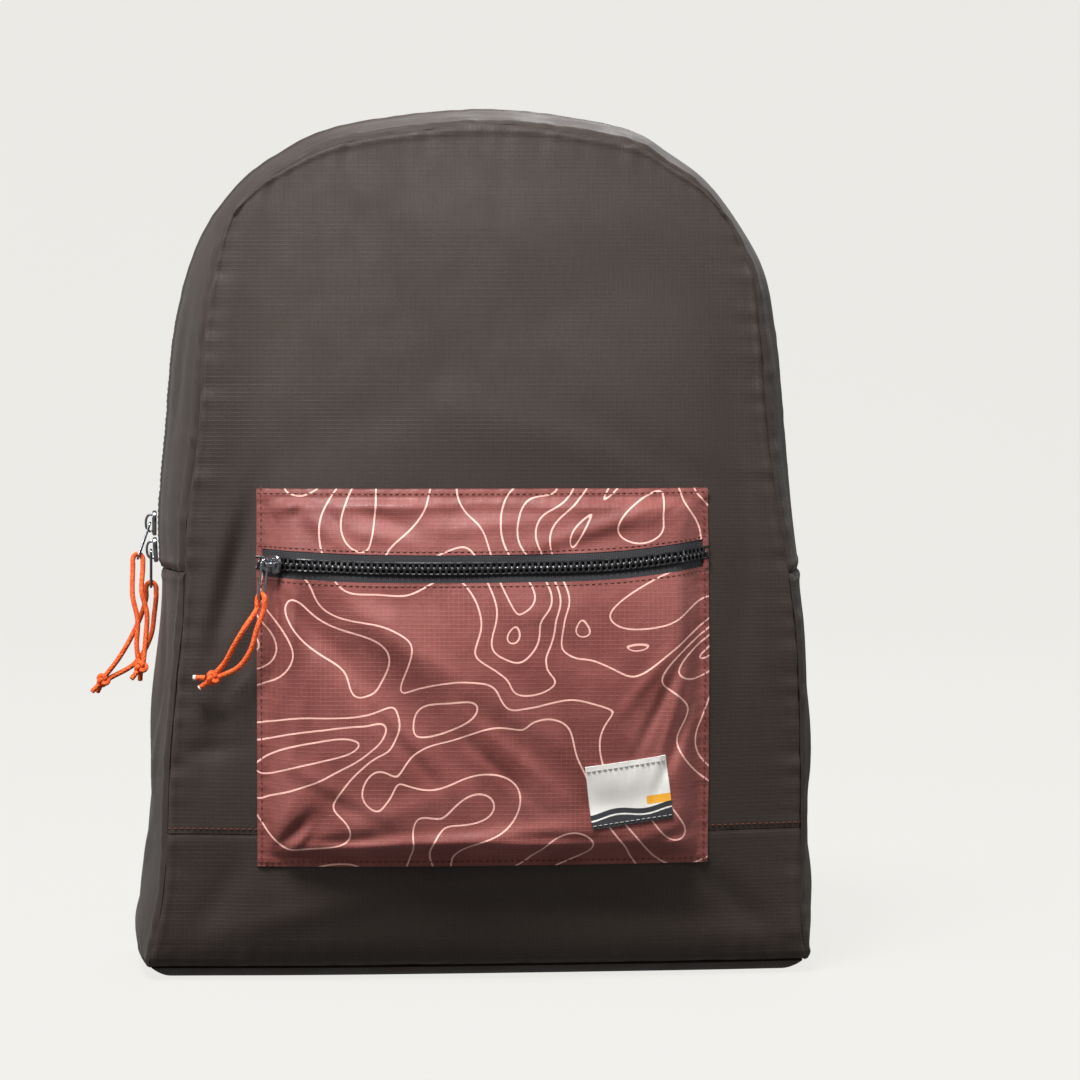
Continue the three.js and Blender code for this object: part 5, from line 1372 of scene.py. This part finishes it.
def frame_piece():
    """A ladder buckle: an oblong frame swept as a rounded bar, with one bar across its middle."""
    half_w, half_h, r = (LOCK_WIDTH - LOCK_BAR) / 2, (LOCK_HEIGHT - LOCK_BAR) / 2, 1.6
    turn = np.linspace(0, math.pi / 2, 5)
    signs = ((1, 1), (-1, 1), (-1, -1), (1, -1))
    corners = [((half_w - r) * sx, (half_h - r) * sy, k) for k, (sx, sy) in enumerate(signs)]
    ring = np.array([(cx + r * math.cos(t + k * math.pi / 2), cy + r * math.sin(t + k * math.pi / 2), 0)
                     for cx, cy, k in corners for t in turn])
    ahead = unit(np.roll(ring, -1, axis=0) - np.roll(ring, 1, axis=0))
    out = np.broadcast_to((0.0, 0.0, 1.0), ring.shape)
    section = rounded_bar(LOCK_BAR, LOCK_BAR, 0.7)
    rim = swept(ring, np.cross(ahead, out), out, section, wrap=True)
    bar = np.stack([np.linspace(-half_w, half_w, 6), np.zeros(6), np.zeros(6)], -1)
    side = np.broadcast_to((0.0, 1.0, 0.0), bar.shape)
    return join_shapes([rim, swept(bar, -side, np.broadcast_to((0.0, 0.0, 1.0), bar.shape), section)])


def flat_strap(line, across, width, thickness):
    """Webbing along a line, its width along the directions in across."""
    ahead = np.gradient(line, axis=0)
    up = unit(np.cross(ahead, across))
    across = unit(np.cross(up, ahead))
    return swept(line, across, up, rounded_bar(width, thickness, 0.5, 2))


for side, sign in (("left", -1), ("right", 1)):
    down = np.linspace(0, 1, STRAP_STOPS)
    bow = STRAP_SEAT + STRAP_THICKNESS / 2 + STRAP_BOW * follow(STRAP_COURSE, 1, down)
    spread = STRAP_TOP_SPREAD + (STRAP_FOOT_SPREAD - STRAP_TOP_SPREAD) * down
    heights = STRAP_TOP + (STRAP_FOOT - STRAP_TOP) * down
    course = np.array([off_back(*place) for place in zip(sign * spread, heights, bow)])
    line = smooth_line(course, STRAP_SPAN)
    down_line = np.interp(np.arange(len(line)), np.arange(STRAP_STOPS) * STRAP_SPAN, down)
    wide = STRAP_WIDTH / 2 * follow(STRAP_COURSE, 2, down_line)
    ahead = unit(np.gradient(line, axis=0))
    up = unit(np.cross(np.broadcast_to((1.0, 0.0, 0.0), line.shape), ahead))
    up = up * np.sign(up[:, 1:2])
    across = unit(np.cross(ahead, up))
    half = np.array(PAD_SECTION)
    round_half = np.vstack([half, half[-2::-1] * (-1, 1)])
    outline = np.vstack([round_half, round_half[-2:0:-1] * (1, -1)])
    pad_section = outline[None] * np.stack([wide, np.full(len(line), STRAP_THICKNESS / 2)], -1)[:, None]
    strap = make_piece(
        f"strap_pad_{side}", swept(line, across, up, pad_section), strap_cloth, "strap_cloth",
        f"shoulder_strap_{side}", sharp=60,
    )

    rows = []
    for place in (-0.9, 0.9):
        edge_line = line + across * (wide * place)[:, None] + up * STRAP_THICKNESS * 0.15
        rows.append(stitch_row(edge_line[3:-2], up[3:-2]))
    make_piece(f"strap_stitches_{side}", join_shapes(rows), dark_thread, "strap_cloth")

    foot, fall, outward = line[-1], ahead[-1], up[-1]
    bar = foot + fall * (0.3 + LOCK_HEIGHT / 2)
    right = np.cross(-fall, outward)
    lock = set_in(frame_piece(), bar, right, -fall, outward)
    make_piece(f"buckle_frame_{side}", lock, buckle_plastic, "buckle", f"strap_buckle_{side}")

    wrap = LOCK_BAR * math.sqrt(0.5) + WRAP_GAP + WEBBING / 2

    def local(rise, out):
        """A place at a height over the buckle's middle and a distance out from it."""
        return bar - fall * rise + outward * out

    foot_x = sign * (BAG_HALF_WIDTH - WEBBING_FROM_SIDE)
    sewn_run, lift = WEBBING_WIDTH * 0.7, WEBBING_GAP + WEBBING / 2
    turn_points = [local(wrap * math.cos(a), wrap * math.sin(a)) for a in np.radians((-45, 0, 45))]
    web_line = smooth_line([
        off_back(foot_x, WEBBING_FOOT, lift), off_back(foot_x, WEBBING_FOOT + sewn_run, lift),
        local(-LOCK_HEIGHT, -wrap), local(0, -wrap), *turn_points,
        local(0, wrap), local(-LOCK_HEIGHT / 2, wrap),
        local(-LOCK_HEIGHT / 2, wrap) + (0, TAIL_DRIFT, -WEBBING_TAIL / 2),
        local(-LOCK_HEIGHT / 2, wrap) + (sign * TAIL_DRIFT / 2, TAIL_DRIFT, -WEBBING_TAIL),
    ], 10)
    half_width, sewn_middle = np.sign(right[0]) * WEBBING_WIDTH / 2, WEBBING_FOOT + sewn_run / 2
    near, far = (off_back(foot_x + reach, sewn_middle, 0) for reach in (-half_width, half_width))
    foot_way = unit(far - near)
    web_share = run_of(web_line) / run_of(web_line)[-1]
    ways = foot_way + (right - foot_way) * smooth_step(web_share, 0.1, 0.3)[:, None]
    band = flat_strap(web_line, ways, WEBBING_WIDTH, WEBBING)
    make_piece(f"webbing_band_{side}", band, webbing_weave, "webbing", f"strap_webbing_{side}")

# Carrying handle: a loop of the same webbing on edge, its two ends sewn flat to the back.
HANDLE_RISE, HANDLE_HALF_SPAN, HANDLE_SEWN = BAG_HEIGHT - 25.0, 56.0, 18.0
HANDLE_HALF_CREST, HANDLE_BOW = 20.0, 20.0
sewn_in = HANDLE_HALF_SPAN - HANDLE_SEWN
stops = [(HANDLE_HALF_SPAN, 0), (sewn_in, 0), (sewn_in + (HANDLE_HALF_CREST - sewn_in) * 0.35, 0.35),
         (sewn_in + (HANDLE_HALF_CREST - sewn_in) * 0.75, 0.9), (HANDLE_HALF_CREST, 1)]
crest = off_back(0, HANDLE_RISE, WEBBING_GAP + WEBBING / 2)[1] + HANDLE_BOW
places, lying = [], []
for sign, x, out in [(-1, *s) for s in stops] + [(1, *s) for s in stops[::-1]]:
    seat = off_back(sign * x, HANDLE_RISE, WEBBING_GAP + WEBBING / 2)
    places.append((seat[0], seat[1] + (crest - seat[1]) * out, seat[2]))
    upright = unit(off_back(sign * x, HANDLE_RISE + 10, 0) - off_back(sign * x, HANDLE_RISE - 10, 0))
    lying.append(unit(upright * (1 - out) + np.array([0.0, 0.0, 1.0]) * out))
handle_line = smooth_line(places, 10)
at_stop = np.arange(len(handle_line)) / 10
handle_ways = read_at(np.array(lying), np.arange(len(lying)), at_stop)
handle = flat_strap(handle_line, handle_ways, WEBBING_WIDTH, WEBBING)
make_piece("handle_band", handle, webbing_weave, "webbing", "grab_handle")
